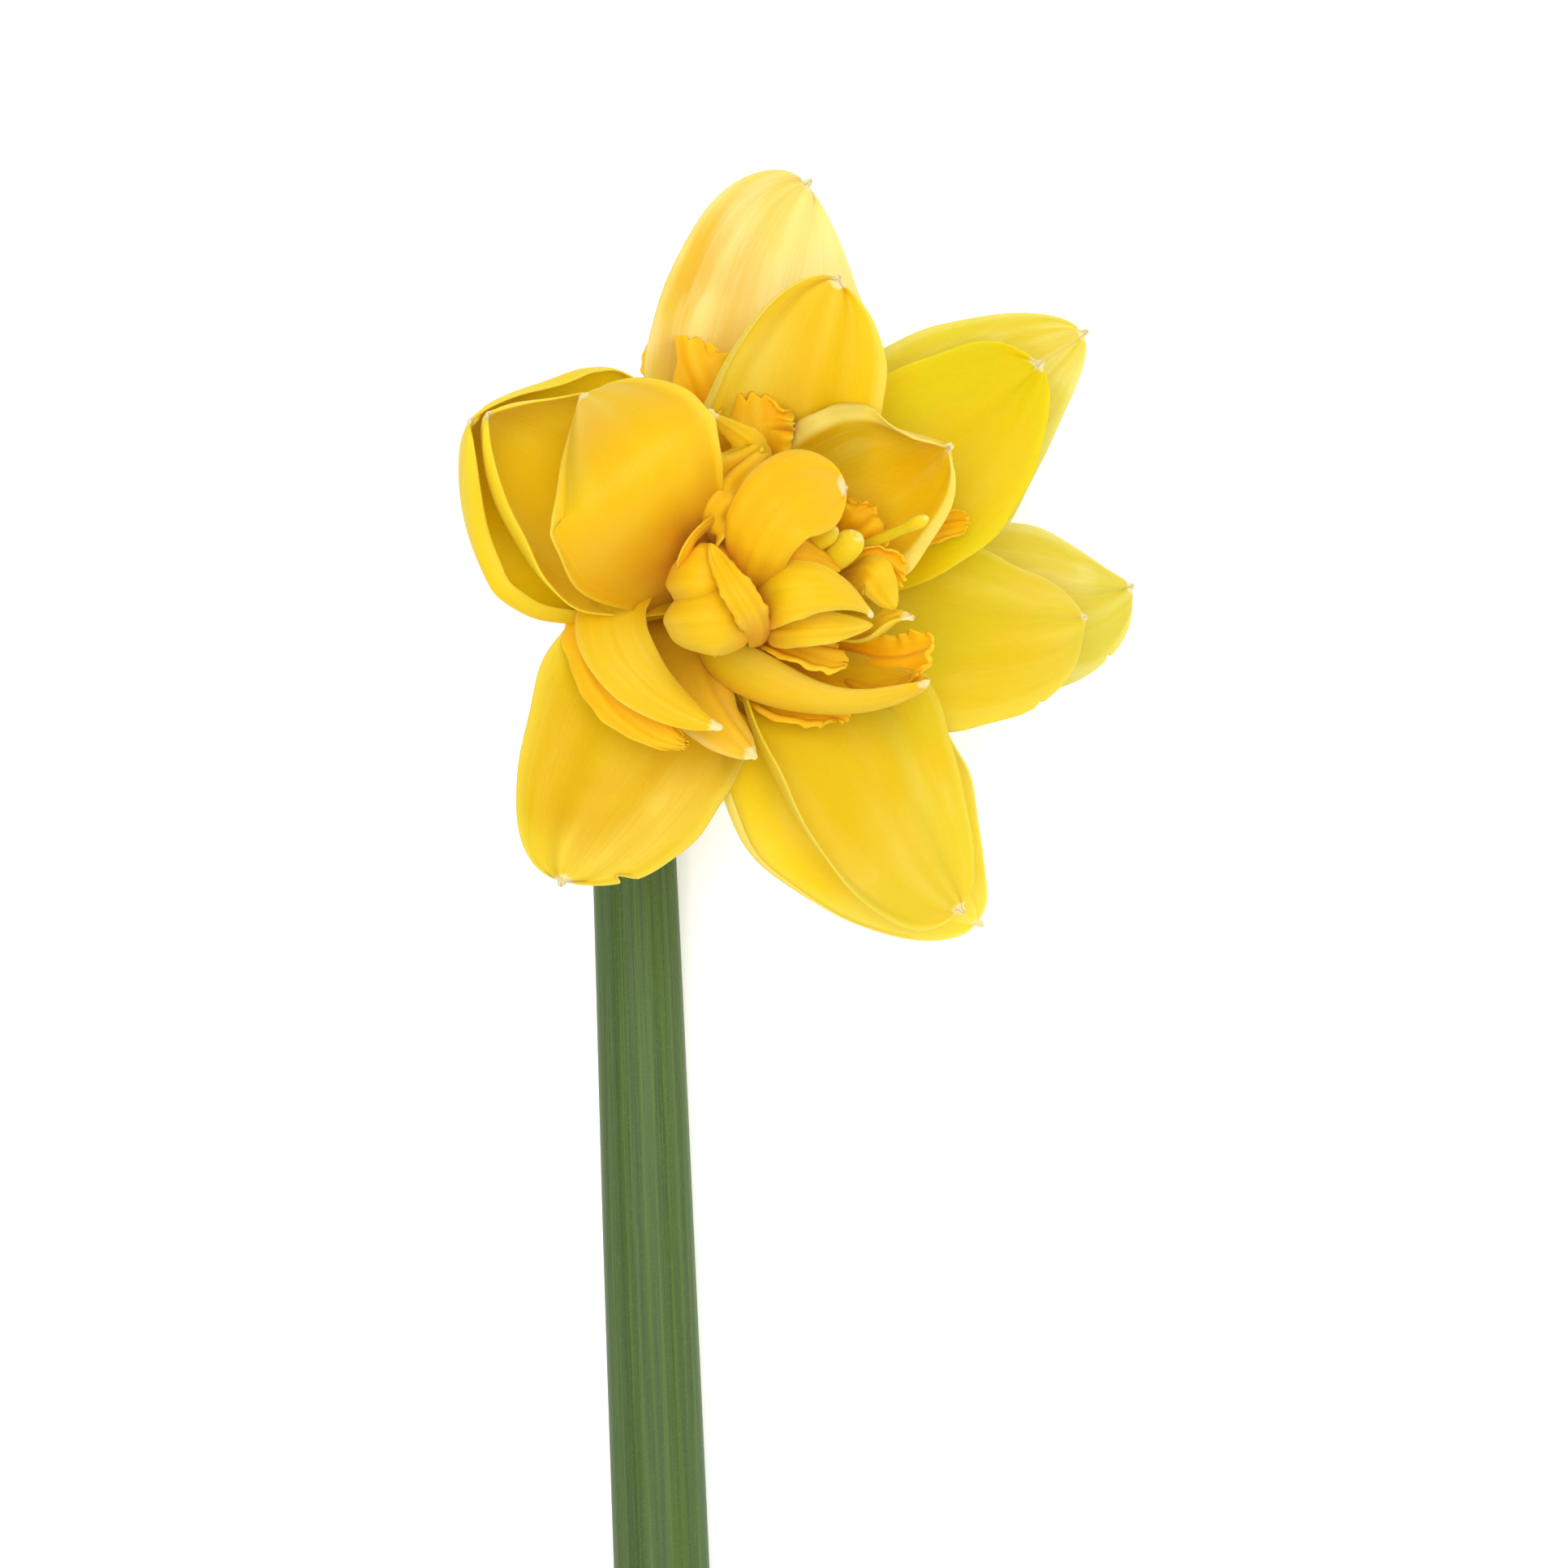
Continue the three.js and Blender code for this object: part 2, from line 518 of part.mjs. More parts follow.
// A solid of changing radius along a curve, closed by flat ends.
function sweep(curve, radiusAt, sides, steps) {
  const frames = curve.computeFrenetFrames(steps, false);
  const points = [];
  const triangles = [];
  for (let step = 0; step <= steps; step += 1) {
    const centre = curve.getPointAt(step / steps);
    for (let side = 0; side < sides; side += 1) {
      const angle = (2 * Math.PI * side) / sides;
      const radius = radiusAt(step / steps, angle);
      points.push(centre.clone()
        .addScaledVector(frames.normals[step], radius * Math.cos(angle))
        .addScaledVector(frames.binormals[step], radius * Math.sin(angle)));
    }
  }
  const at = (step, side) => step * sides + (side % sides);
  for (let step = 0; step < steps; step += 1) {
    for (let side = 0; side < sides; side += 1) {
      triangles.push([at(step, side), at(step, side + 1), at(step + 1, side + 1)]);
      triangles.push([at(step, side), at(step + 1, side + 1), at(step + 1, side)]);
    }
  }
  const foot = points.push(curve.getPointAt(0)) - 1;
  const head = points.push(curve.getPointAt(1)) - 1;
  for (let side = 0; side < sides; side += 1) {
    triangles.push([foot, at(0, side + 1), at(0, side)]);
    triangles.push([head, at(steps, side), at(steps, side + 1)]);
  }
  return geometryFrom(points, triangles);
}

// A solid turned about the bloom's axis. The profile is a list of [radius, height] pairs that
// starts and ends on the axis, and `margin` swells it on every side.
function turnedAboutAxis(profile, segments, margin) {
  const low = Math.min(...profile.map(([, height]) => height));
  const high = Math.max(...profile.map(([, height]) => height));
  const middle = (low + high) / 2;
  const stretch = (high - low + 2 * margin) / (high - low);
  const outline = profile.map(([radius, height]) => new THREE.Vector2(
    radius === 0 ? 0 : radius + margin,
    middle + (height - middle) * stretch,
  ));
  const geometry = new THREE.LatheGeometry(outline, segments);
  const turn = new THREE.Quaternion().setFromUnitVectors(new THREE.Vector3(0, 1, 0), BLOOM_AXIS);
  geometry.applyQuaternion(turn);
  return geometry;
}

// ---------------------------------------------------------------------------------------------
// Solids
// ---------------------------------------------------------------------------------------------

const wasm = await Module();
wasm.setup();

const VERTEX_WELD = 1e-5;

// A closed geometry as a solid that can be joined and cut. Vertices that coincide are shared.
function solidFrom(geometry) {
  const position = geometry.getAttribute('position');
  const seen = new Map();
  const vertices = [];
  const place = [];
  for (let index = 0; index < position.count; index += 1) {
    const xyz = [position.getX(index), position.getY(index), position.getZ(index)];
    const key = xyz.map((value) => Math.round(value / VERTEX_WELD)).join(' ');
    if (!seen.has(key)) {
      seen.set(key, vertices.length / 3);
      vertices.push(...xyz);
    }
    place.push(seen.get(key));
  }
  const corners = [];
  const index = geometry.getIndex();
  for (let corner = 0; corner < index.count; corner += 3) {
    const triangle = [0, 1, 2].map((step) => place[index.getX(corner + step)]);
    if (new Set(triangle).size === 3) {
      corners.push(...triangle);
    }
  }
  return new wasm.Manifold(new wasm.Mesh({
    numProp: 3,
    vertProperties: new Float32Array(vertices),
    triVerts: new Uint32Array(corners),
  }));
}

function geometryOf(solid) {
  const mesh = solid.getMesh();
  const geometry = new THREE.BufferGeometry();
  const coordinates = new Float32Array(mesh.vertProperties);
  geometry.setAttribute('position', new THREE.BufferAttribute(coordinates, 3));
  geometry.setIndex(new THREE.BufferAttribute(new Uint32Array(mesh.triVerts), 1));
  geometry.computeVertexNormals();
  return geometry;
}

const pieces = [];

function boxesMeet(a, b) {
  return [0, 1, 2].every((axis) => a.min[axis] <= b.max[axis] && b.min[axis] <= a.max[axis]);
}

// Adds a piece. Where it would run into an earlier one it is cut back from that one's swollen
// copy, and of what is left the largest body is kept.
function addPiece(name, material, geometry, swollenGeometry) {
  let solid = solidFrom(geometry);
  for (const other of pieces) {
    if (boxesMeet(solid.boundingBox(), other.swollen.boundingBox())) {
      solid = solid.subtract(other.swollen);
    }
  }
  const bodies = solid.decompose();
  bodies.sort((a, b) => b.volume() - a.volume());
  pieces.push({ name, material, solid: bodies[0], swollen: solidFrom(swollenGeometry) });
}

function addBlade(blade, { midrib, facing }, thickness, material, rows, columns) {
  const phase = GOLDEN_TURN * pieces.length;
  const whole = { ...BLADE_DEFAULTS, ...blade };
  const surface = bladeSurface(whole, midrib, facing, phase, rows, columns);
  const swollen = sheet(widened(surface, GAP), thickness + 2 * GAP);
  addPiece(blade.name, material, sheet(surface, thickness), swollen);
}

function addSweep(name, material, curve, radiusAt, sides, steps) {
  const swollenRadius = (t, angle) => radiusAt(t, angle) + GAP;
  const swollen = sweep(curve, swollenRadius, sides, steps);
  addPiece(name, material, sweep(curve, radiusAt, sides, steps), swollen);
}

function addTurned(name, material, profile, segments) {
  addPiece(name, material, turnedAboutAxis(profile, segments, 0), turnedAboutAxis(profile, segments, GAP));
}

// ---------------------------------------------------------------------------------------------
// Stem, ovary and tube
// ---------------------------------------------------------------------------------------------

const OVARY_TOP = -TUBE_LENGTH - GAP;
const OVARY_FOOT = OVARY_TOP - OVARY_LENGTH;
const STEM_TOP = OVARY_FOOT - GAP;

// The stem leaves the ovary along the bloom's axis, turns through a tight knee and then runs
// down to its cut foot. These are the points of its centre line.
const STEM_LINE = [
  BLOOM_AXIS.clone().multiplyScalar(STEM_TOP),
  BLOOM_AXIS.clone().multiplyScalar(STEM_TOP - 3.5).add(vector([0, -0.8, 0])),
  vector([-13.8, -6, -37.2]),
  vector([-13.6, -15, -37.7]),
  vector([-12.8, -33, -36.9]),
  vector([-11.2, -75, -35.4]),
  vector([-9.6, -115, -34.6]),
  vector([-6.8, -190, -34.1]),
];

function buildStem() {
  const line = new THREE.CatmullRomCurve3(STEM_LINE);
  const radiusAt = (t, angle) => {
    const downStem = Math.sin((Math.PI / 2) * t) ** 0.8;
    const radius = STEM_NECK_RADIUS + (STEM_FOOT_RADIUS - STEM_NECK_RADIUS) * downStem;
    const keels = STEM_KEEL * Math.cos(2 * angle);
    const ribs = STEM_RIB * Math.cos(STEM_RIBS * angle);
    return radius * (1 + keels + ribs);
  };
  addSweep('stem', FINISHES.stem, line, radiusAt, 16, 24);
}

function buildOvary() {
  const profile = [[0, OVARY_FOOT], [OVARY_END_RADIUS, OVARY_FOOT]];
  const bands = 6;
  for (let band = 1; band < bands; band += 1) {
    const height = OVARY_FOOT + (OVARY_LENGTH * band) / bands;
    const bulge = Math.sin((Math.PI * band) / bands) ** 0.7;
    profile.push([OVARY_END_RADIUS + (OVARY_RADIUS - OVARY_END_RADIUS) * bulge, height]);
  }
  profile.push([OVARY_END_RADIUS, OVARY_TOP], [0, OVARY_TOP]);
  addTurned('ovary', FINISHES.ovary, profile, 18);
}

function buildTube() {
  const profile = [
    [0, -TUBE_LENGTH],
    [TUBE_NECK_RADIUS, -TUBE_LENGTH],
    [TUBE_NECK_RADIUS + 0.2, -TUBE_LENGTH * 0.65],
    [TUBE_NECK_RADIUS + 1.3, -TUBE_LENGTH * 0.3],
    [THROAT_RADIUS, -1.5],
    [THROAT_RADIUS, -0.3],
    [THROAT_RADIUS - THROAT_RIM, 0.4],
    [0, 0.6],
  ];
  addTurned('floral_tube', FINISHES.tube, profile, 20);
}

// The packed roots of the heart's petaloids, which close the middle of the throat.
function buildCore() {
  const profile = [[0, CORE_FOOT], [CORE_FOOT_RADIUS, CORE_FOOT], [CORE_NECK_RADIUS, CORE_NECK]];
  const bands = 6;
  const dome = CORE_TOP - CORE_SHOULDER;
  for (let band = 0; band < bands; band += 1) {
    const angle = ((Math.PI / 2) * band) / bands;
    profile.push([CORE_RADIUS * Math.cos(angle), CORE_SHOULDER + dome * Math.sin(angle)]);
  }
  profile.push([0, CORE_TOP]);
  addTurned('heart_core', FINISHES.petaloid, profile, 16);
}

// ---------------------------------------------------------------------------------------------
// Assembly. Pieces that show most come first, because each later piece gives way to them.
// ---------------------------------------------------------------------------------------------

function buildClub({ name, from, to, radii, head }) {
  const line = new THREE.LineCurve3(vector(from), vector(to));
  const radiusAt = (t) => {
    const upHead = clamp01((t - 1 + head) / head);
    const stalk = radii[0] + (radii[1] - radii[0]) * t;
    return stalk + (radii[2] - stalk) * Math.sin(Math.PI * 0.9 * upHead);
  };
  addSweep(name, FINISHES.petaloid, line, radiusAt, 6, 10);
}

function addBladesInPlace(blades, material, rows, columns) {
  for (const blade of blades) {
    addBlade(blade, bladeInPlace(blade), PETALOID_THICKNESS, material, rows, columns);
  }
}

function addWhorl(tepals, ring, rows, columns) {
  for (const tepal of tepals) {
    addBlade(tepal, tepalOnRing(tepal, ring), TEPAL_THICKNESS, FINISHES.tepal, rows, columns);
  }
}

buildStem();
buildOvary();
buildTube();
buildCore();
addBladesInPlace(PETALOIDS, FINISHES.petaloid, 10, 6);
addBladesInPlace(HEART, FINISHES.petaloid, 7, 4);
CLUBS.forEach(buildClub);
addBladesInPlace(CORONA, FINISHES.corona, 8, 4);
addWhorl(INNER_TEPALS, INNER_RING, 9, 6);
addWhorl(OUTER_TEPALS, OUTER_RING, 9, 6);
addBladesInPlace([SHEATH], FINISHES.sheath, 6, 4);

const bloomFrame = new THREE.Group();
bloomFrame.rotation.y = radians(RESTING_ROLL);
for (const piece of pieces) {
  const mesh = new THREE.Mesh(geometryOf(piece.solid), piece.material);
  mesh.name = piece.name;
  bloomFrame.add(mesh);
}

// Stand the whole flower on the surface, with the middle of its footprint over the origin.
const daffodil = new THREE.Group();
daffodil.add(bloomFrame);
daffodil.updateMatrixWorld(true);
const box = new THREE.Box3().setFromObject(daffodil, true);
const middle = box.getCenter(new THREE.Vector3());
daffodil.position.set(-middle.x, -middle.y, -box.min.z);
daffodil.updateMatrixWorld(true);

export default daffodil;
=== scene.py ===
"""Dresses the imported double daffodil: fine petals, stem and materials, with its floor and light.

All sizes are in millimetres in the bloom's own frame unless a name says otherwise. In that frame
the origin is in the middle of the throat, +Y points away from the stem's foot and +Z points out
of the flower's face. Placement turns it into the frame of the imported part, in metres.
"""

from __future__ import annotations

import logging
import math
from collections.abc import Callable, Sequence
from dataclasses import dataclass, field
from enum import Enum
from typing import Any

import bpy
import numpy as np
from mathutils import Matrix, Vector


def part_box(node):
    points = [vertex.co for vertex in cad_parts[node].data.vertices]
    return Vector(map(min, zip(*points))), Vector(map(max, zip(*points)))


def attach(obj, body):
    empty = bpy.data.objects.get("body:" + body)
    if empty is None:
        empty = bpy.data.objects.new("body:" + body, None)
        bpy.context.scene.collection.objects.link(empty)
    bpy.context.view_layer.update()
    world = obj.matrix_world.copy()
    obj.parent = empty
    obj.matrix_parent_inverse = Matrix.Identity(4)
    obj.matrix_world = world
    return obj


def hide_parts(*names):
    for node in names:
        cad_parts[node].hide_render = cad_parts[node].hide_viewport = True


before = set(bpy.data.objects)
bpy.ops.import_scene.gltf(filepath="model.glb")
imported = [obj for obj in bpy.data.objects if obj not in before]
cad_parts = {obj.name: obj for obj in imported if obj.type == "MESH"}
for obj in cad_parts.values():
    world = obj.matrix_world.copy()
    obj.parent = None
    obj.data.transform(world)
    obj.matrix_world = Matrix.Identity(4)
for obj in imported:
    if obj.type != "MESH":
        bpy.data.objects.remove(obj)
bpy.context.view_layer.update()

LOG = logging.getLogger("daffodil")
BODY = "root"
METRES = 0.001
GLOW_SHARE = 0.1  # of the light on a petal, what passes through to its other side

BLOOM_LEAN = math.radians(20)  # from +Z towards +X, in the bloom's frame
RESTING_ROLL = math.radians(20)  # about +Y, from the bloom's frame to the part's
OUTER_RING = (6.5, 1.2)  # radius and height of the ring that the outer tepals spring from
INNER_RING = (5.0, 2.2)  # the same for the inner tepals
GOLDEN_TURN = 2.399963  # radians; spreads the phases of neighbouring blades evenly
GAP = 0.3  # between the stem, the ovary and the floral tube
HORN_ROWS = 5  # rows of points on a blade's small horn
CALLUS_FADE = (0.5, 2.3)  # distances from the tip between which a callus fades

BLOOM_AXIS = np.array([math.sin(BLOOM_LEAN), 0.0, math.cos(BLOOM_LEAN)])
BLOOM_RIGHT = np.array([math.cos(BLOOM_LEAN), 0.0, -math.sin(BLOOM_LEAN)])
BLOOM_UP = np.array([0.0, 1.0, 0.0])

Point = tuple[float, float, float]
Colour = tuple[float, float, float, float]
Stops = tuple[float, ...]


# ------------------------------------------------------------------------------------------
# Small mathematics on arrays
# ------------------------------------------------------------------------------------------


def unit(vectors: np.ndarray) -> np.ndarray:
    """Scales vectors, held along the last axis, to length one."""
    return vectors / np.maximum(np.linalg.norm(vectors, axis=-1, keepdims=True), 1e-12)


def smooth(values: np.ndarray) -> np.ndarray:
    """Smoothstep: 3x^2 - 2x^3 of the values held between 0 and 1."""
    held = np.clip(values, 0.0, 1.0)
    return held * held * (3.0 - 2.0 * held)


def between(values: np.ndarray, low: float, high: float) -> np.ndarray:
    """Smoothstep that rises from 0 at low to 1 at high."""
    return smooth((values - low) / (high - low))


def bump(values: np.ndarray, centre: float, spread: float) -> np.ndarray:
    """Gaussian bell: e to the minus square of the distance from centre over spread."""
    return np.exp(-(((values - centre) / spread) ** 2))


def even_spline(stops: Sequence[float], along: np.ndarray) -> np.ndarray:
    """Smooth curve through values held at even steps from 0 to 1.

    Between two stops it is the cubic whose slope at each stop is half the difference of its
    neighbours.

    Args:
        stops: Two values or more.
        along: Where to read the curve, from 0 to 1.

    Returns:
        The curve at each place.
    """
    values = np.array(stops, float)
    ended = np.concatenate([[2 * values[0] - values[1]], values, [2 * values[-1] - values[-2]]])
    place = np.clip(along, 0, 1) * (len(values) - 1)
    cell = np.minimum(place.astype(int), len(values) - 2)
    x = place - cell
    before, here, after, beyond = (ended[cell + step] for step in range(4))
    slope, next_slope = (after - before) / 2, (beyond - here) / 2
    cubic = 2 * (here - after) + slope + next_slope
    square = 3 * (after - here) - 2 * slope - next_slope
    return here + x * (slope + x * (square + x * cubic))


def running_sum(values: np.ndarray, step: float) -> np.ndarray:
    """Integral along each row by the trapezium rule, zero in the middle of the row.

    Args:
        values: Rows of an odd number of values.
        step: The distance between two neighbours.

    Returns:
        The integral at each value.
    """
    areas = (values[:, 1:] + values[:, :-1]) / 2 * step
    total = np.concatenate([np.zeros((len(values), 1)), np.cumsum(areas, axis=1)], axis=1)
    middle = total.shape[1] // 2
    return total - total[:, middle : middle + 1]


def linear(hex_colour: str) -> Colour:
    """Turns a display colour such as '#f7cb3a' into the linear colour that shaders use.

    Args:
        hex_colour: Six hexadecimal digits after a hash sign.

    Returns:
        Red, green, blue and an alpha of one.
    """
    shares = [int(hex_colour[start : start + 2], 16) / 255 for start in (1, 3, 5)]
    red, green, blue = (s / 12.92 if s <= 0.04045 else ((s + 0.055) / 1.055) ** 2.4 for s in shares)
    return (red, green, blue, 1.0)


# ------------------------------------------------------------------------------------------
# Shader graphs
# ------------------------------------------------------------------------------------------


class Wire:
    """A node's output socket that takes part in sums, each of which adds a Math node."""

    def __init__(self, graph: Graph, socket: bpy.types.NodeSocket | None) -> None:
        """Wraps one output socket of a graph, or none for the output node."""
        self.graph = graph
        self.socket = socket

    def _math(self, operation: str, *values: Any) -> Wire:
        """Adds one Math node on one or two values."""
        return self.graph.node("ShaderNodeMath", {"operation": operation}, dict(enumerate(values)))

    def __add__(self, other: Any) -> Wire:
        """Sum of two values."""
        return self._math("ADD", self, other)

    def __radd__(self, other: Any) -> Wire:
        """Sum of two values, reflected."""
        return self._math("ADD", other, self)

    def __sub__(self, other: Any) -> Wire:
        """Difference of two values."""
        return self._math("SUBTRACT", self, other)

    def __rsub__(self, other: Any) -> Wire:
        """Difference of two values, reflected."""
        return self._math("SUBTRACT", other, self)

    def __mul__(self, other: Any) -> Wire:
        """Product of two values."""
        return self._math("MULTIPLY", self, other)

    def __rmul__(self, other: Any) -> Wire:
        """Product of two values, reflected."""
        return self._math("MULTIPLY", other, self)

    def size(self) -> Wire:
        """Absolute value."""
        return self._math("ABSOLUTE", self)

    def rise(self, low: float, high: float) -> Wire:
        """Turns the value into a smooth step.

        Args:
            low: Where the step is 0. It may be the larger of the two.
            high: Where the step is 1.

        Returns:
            The smoothstep of the value's share of the way from low to high.
        """
        settings = {"interpolation_type": "SMOOTHSTEP", "clamp": True}
        values = {"Value": self, "From Min": low, "From Max": high}
        return self.graph.node("ShaderNodeMapRange", settings, values)


class Graph:
    """The node tree of one material."""

    def __init__(self, name: str) -> None:
        """Makes an empty material.

        Args:
            name: The material's name.
        """
        self.material = bpy.data.materials.new(name)
        self.material.use_nodes = True
        self.tree = self.material.node_tree
        self.tree.nodes.clear()

    def node(
        self,
        kind: str,
        settings: dict[str, Any] | None = None,
        inputs: dict[int | str, Any] | None = None,
        output: int | str = 0,
    ) -> Wire:
        """Adds a node of any type.

        Args:
            kind: Blender's name of the node type.
            settings: The node's own properties, set before its sockets.
            inputs: Values or wires of its input sockets, by index or name.
            output: The output socket to hand back.

        Returns:
            The chosen output as a wire.
        """
        made = self.tree.nodes.new(kind)
        for key, value in (settings or {}).items():
            setattr(made, key, value)
        for key, value in (inputs or {}).items():
            if isinstance(value, Wire):
                self.tree.links.new(value.socket, made.inputs[key])
            else:
                made.inputs[key].default_value = value
        return Wire(self, made.outputs[output] if made.outputs else None)

    def mix(self, share: Any, first: Any, second: Any) -> Wire:
        """Mixes two colours: share 0 gives the first and 1 the second."""
        return self.node("ShaderNodeMix", {"data_type": "RGBA"}, {0: share, 6: first, 7: second}, 2)

    def attribute(self, name: str) -> Wire:
        """Reads a number that each vertex carries."""
        return self.node("ShaderNodeAttribute", {"attribute_name": name}, output="Fac")

    def noise(self, vector: Wire, scale: float, detail: float) -> Wire:
        """Cloudy noise between 0 and 1, with scale clouds to each unit of the vector."""
        values = {"Vector": vector, "Scale": scale, "Detail": detail}
        return self.node("ShaderNodeTexNoise", None, values)

    def vector(self, x: Any, y: Any, z: Any) -> Wire:
        """Joins three values into a vector."""
        return self.node("ShaderNodeCombineXYZ", None, {"X": x, "Y": y, "Z": z})

    def place(self) -> Wire:
        """The place on the piece, in metres."""
        return self.node("ShaderNodeTexCoord", None, None, "Object")

    def blade_place(self) -> tuple[Wire, Wire]:
        """Reads where on a blade a point is.

        Returns:
            Its side, from -1 to 1, and how far from root to tip it is, from 0 to 1.
        """
        uv = self.node("ShaderNodeUVMap", {"uv_map": "blade"})
        side = self.node("ShaderNodeSeparateXYZ", None, {0: uv}, "X") * 2 - 1
        along = self.node("ShaderNodeSeparateXYZ", None, {0: uv}, "Y")
        return side, along

    def relief(self, height: Wire, depth: float) -> Wire:
        """Turns a height pattern into a surface normal of that depth in millimetres."""
        return self.node("ShaderNodeBump", None, {"Distance": depth * METRES, "Height": height})

    def finish(self, values: dict[str, Any], glow: Colour | None = None) -> bpy.types.Material:
        """Closes the graph and hands back its material.

        Args:
            values: Sockets of the Principled shader.
            glow: The colour of the light that passes through to the other side, if any does.

        Returns:
            The finished material.
        """
        shader = self.node("ShaderNodeBsdfPrincipled", None, values)
        if glow is not None:
            through = self.node("ShaderNodeBsdfTranslucent", None, {"Color": glow})
            shares = {0: GLOW_SHARE, 1: shader, 2: through}
            shader = self.node("ShaderNodeMixShader", None, shares)
        self.node("ShaderNodeOutputMaterial", None, {"Surface": shader})
        return self.material


# ------------------------------------------------------------------------------------------
# Finishes
# ------------------------------------------------------------------------------------------


@dataclass(frozen=True)
class PetalFinish:
    """Soft satin petal: a deeper root, partly painted shade; cloudy lengthwise streaks, patches and a rim
    of painted highlight; fine veins and a pale tip.

    Attributes:
        name: Name of the material.
        root: Colour at the root and in the veins; at the root it is partly the petal's own and partly
            painted shade.
        body: Colour of the rest.
        pale: Colour of the painted highlights: the streaks, the patches and the rim.
        lime: Colour of the clouds.
        lime_share: How strong the clouds are.
        pale_share: How strong the streaks of painted highlight are.
        root_reach: How far along the blade the root's colour has faded.
        rim: How strong the pale rim of painted highlight is.
        rim_start: Where across the blade the rim starts, from 0 to 1.
        inside: How much of the root's colour the inner face takes.
        pale_side: How much paler the right side is, as painted light.
        callus: Colour of the small dry callus on the tip.
        roughness: Mean roughness.
    """

    name: str
    root: str
    body: str
    pale: str
    lime: str = "#dccb10"
    lime_share: float = 0.25
    pale_share: float = 0.45
    root_reach: float = 0.45
    rim: float = 0.4
    rim_start: float = 0.88
    inside: float = 0.0
    pale_side: float = 0.0
    callus: str = "#f6e2aa"
    roughness: float = 0.5

    def material(self) -> bpy.types.Material:
        """Builds the node graph: streaks and veins run along the blade, clouds lie in space.

        Returns:
            The finished material.
        """
        graph = Graph(self.name)
        side, along = graph.blade_place()
        place = graph.place()
        cloud = graph.noise(place, 70.0, 2.0)
        streak = graph.noise(graph.vector(side * 2.6, along * 0.8, cloud * 1.6), 1.5, 3.0)
        vein = graph.noise(graph.vector(side * 46.0, along * 1.4, cloud * 0.6), 1.0, 2.0)
        grain = graph.noise(place, 2600.0, 2.0)
        painted_highlight_patch = graph.noise(place, 34.0, 1.0)

        # The deeper colour at the root is partly the petal's own and partly painted shade.
        body = graph.mix(along.rise(0.0, self.root_reach), linear(self.root), linear(self.body))
        # Painted highlights: pale satin streaks, a paler right side and pale patches.
        pale = streak.rise(0.35, 0.8) * self.pale_share + side.rise(-0.3, 0.9) * self.pale_side
        pale = ((pale + painted_highlight_patch.rise(0.45, 0.65) * 0.4) * along.rise(0.2, 0.7)).rise(0.0, 1.0)
        body = graph.mix(pale, body, linear(self.pale))
        if self.inside > 0:
            body = graph.mix(graph.attribute("inside") * self.inside, body, linear(self.root))
        lime = cloud.rise(0.45, 0.62) * self.lime_share
        body = graph.mix(lime, body, linear(self.lime))
        # Painted highlight: a pale rim along the margins.
        margin = side.size().rise(self.rim_start, self.rim_start + 0.1) * self.rim * along.rise(0.2, 0.5)
        body = graph.mix(margin, body, linear(self.pale))
        body = graph.mix(vein.rise(0.5, 0.68) * 0.1, body, linear(self.root))
        crumbs = graph.noise(place, 1100.0, 3.0)
        callus = (graph.attribute("callus") + crumbs * 0.9 - 0.45).rise(0.35, 0.7)
        body = graph.mix(callus * 0.75, body, linear(self.callus))

        height = (vein * 0.5 + streak * 0.5) * along.rise(1.0, 0.85) + grain * 0.15
        return graph.finish(
            {
                "Base Color": body,
                "Roughness": self.roughness + (grain - 0.5) * 0.2,
                "Specular IOR Level": 0.16,
                "Sheen Weight": 0.03,
                "Sheen Roughness": 0.5,
                "Subsurface Weight": 0.4,
                "Subsurface Radius": (1.0, 0.7, 0.15),
                "Subsurface Scale": 0.003,
                "Normal": graph.relief(height, 0.1),
            },
            glow=linear(self.body),
        )


@dataclass(frozen=True)
class GreenFinish:
    """Waxy green stem or ovary with paler lengthwise streaks and a light bloom of wax.

    Attributes:
        name: Name of the material.
        body: Main colour.
        light: Colour of the fine streaks and of the wax.
        dark: Colour of the broad streaks.
        cut: Colour of the two ends.
    """

    name: str
    body: str
    light: str
    dark: str
    cut: str

    def material(self) -> bpy.types.Material:
        """Builds the node graph: broad and fine streaks along the piece, and grain in space.

        Returns:
            The finished material.
        """
        graph = Graph(self.name)
        side, along = graph.blade_place()
        place = graph.place()
        cloud = graph.noise(place, 90.0, 2.0)
        streak = graph.noise(graph.vector(side * 16.0, along * 2.2, cloud * 0.4), 1.7, 3.0)
        fine = graph.noise(graph.vector(side * 110.0, along * 4.0, cloud), 1.0, 2.0)
        grain = graph.noise(place, 3200.0, 2.0)
        body = graph.mix(streak.rise(0.3, 0.7), linear(self.dark), linear(self.body))
        body = graph.mix(fine.rise(0.5, 0.7) * 0.35, body, linear(self.light))
        body = graph.mix(grain.rise(0.45, 0.75) * 0.25, body, linear(self.light))
        body = graph.mix(graph.attribute("callus"), body, linear(self.cut))
        return graph.finish(
            {
                "Base Color": body,
                "Roughness": 0.46 + (grain - 0.5) * 0.25,
                "Specular IOR Level": 0.25,
                "Subsurface Weight": 0.12,
                "Subsurface Radius": (0.6, 1.0, 0.3),
                "Subsurface Scale": 0.001,
                "Normal": graph.relief(fine * 0.7 + streak * 0.5 + grain * 0.15, 0.12),
            }
        )


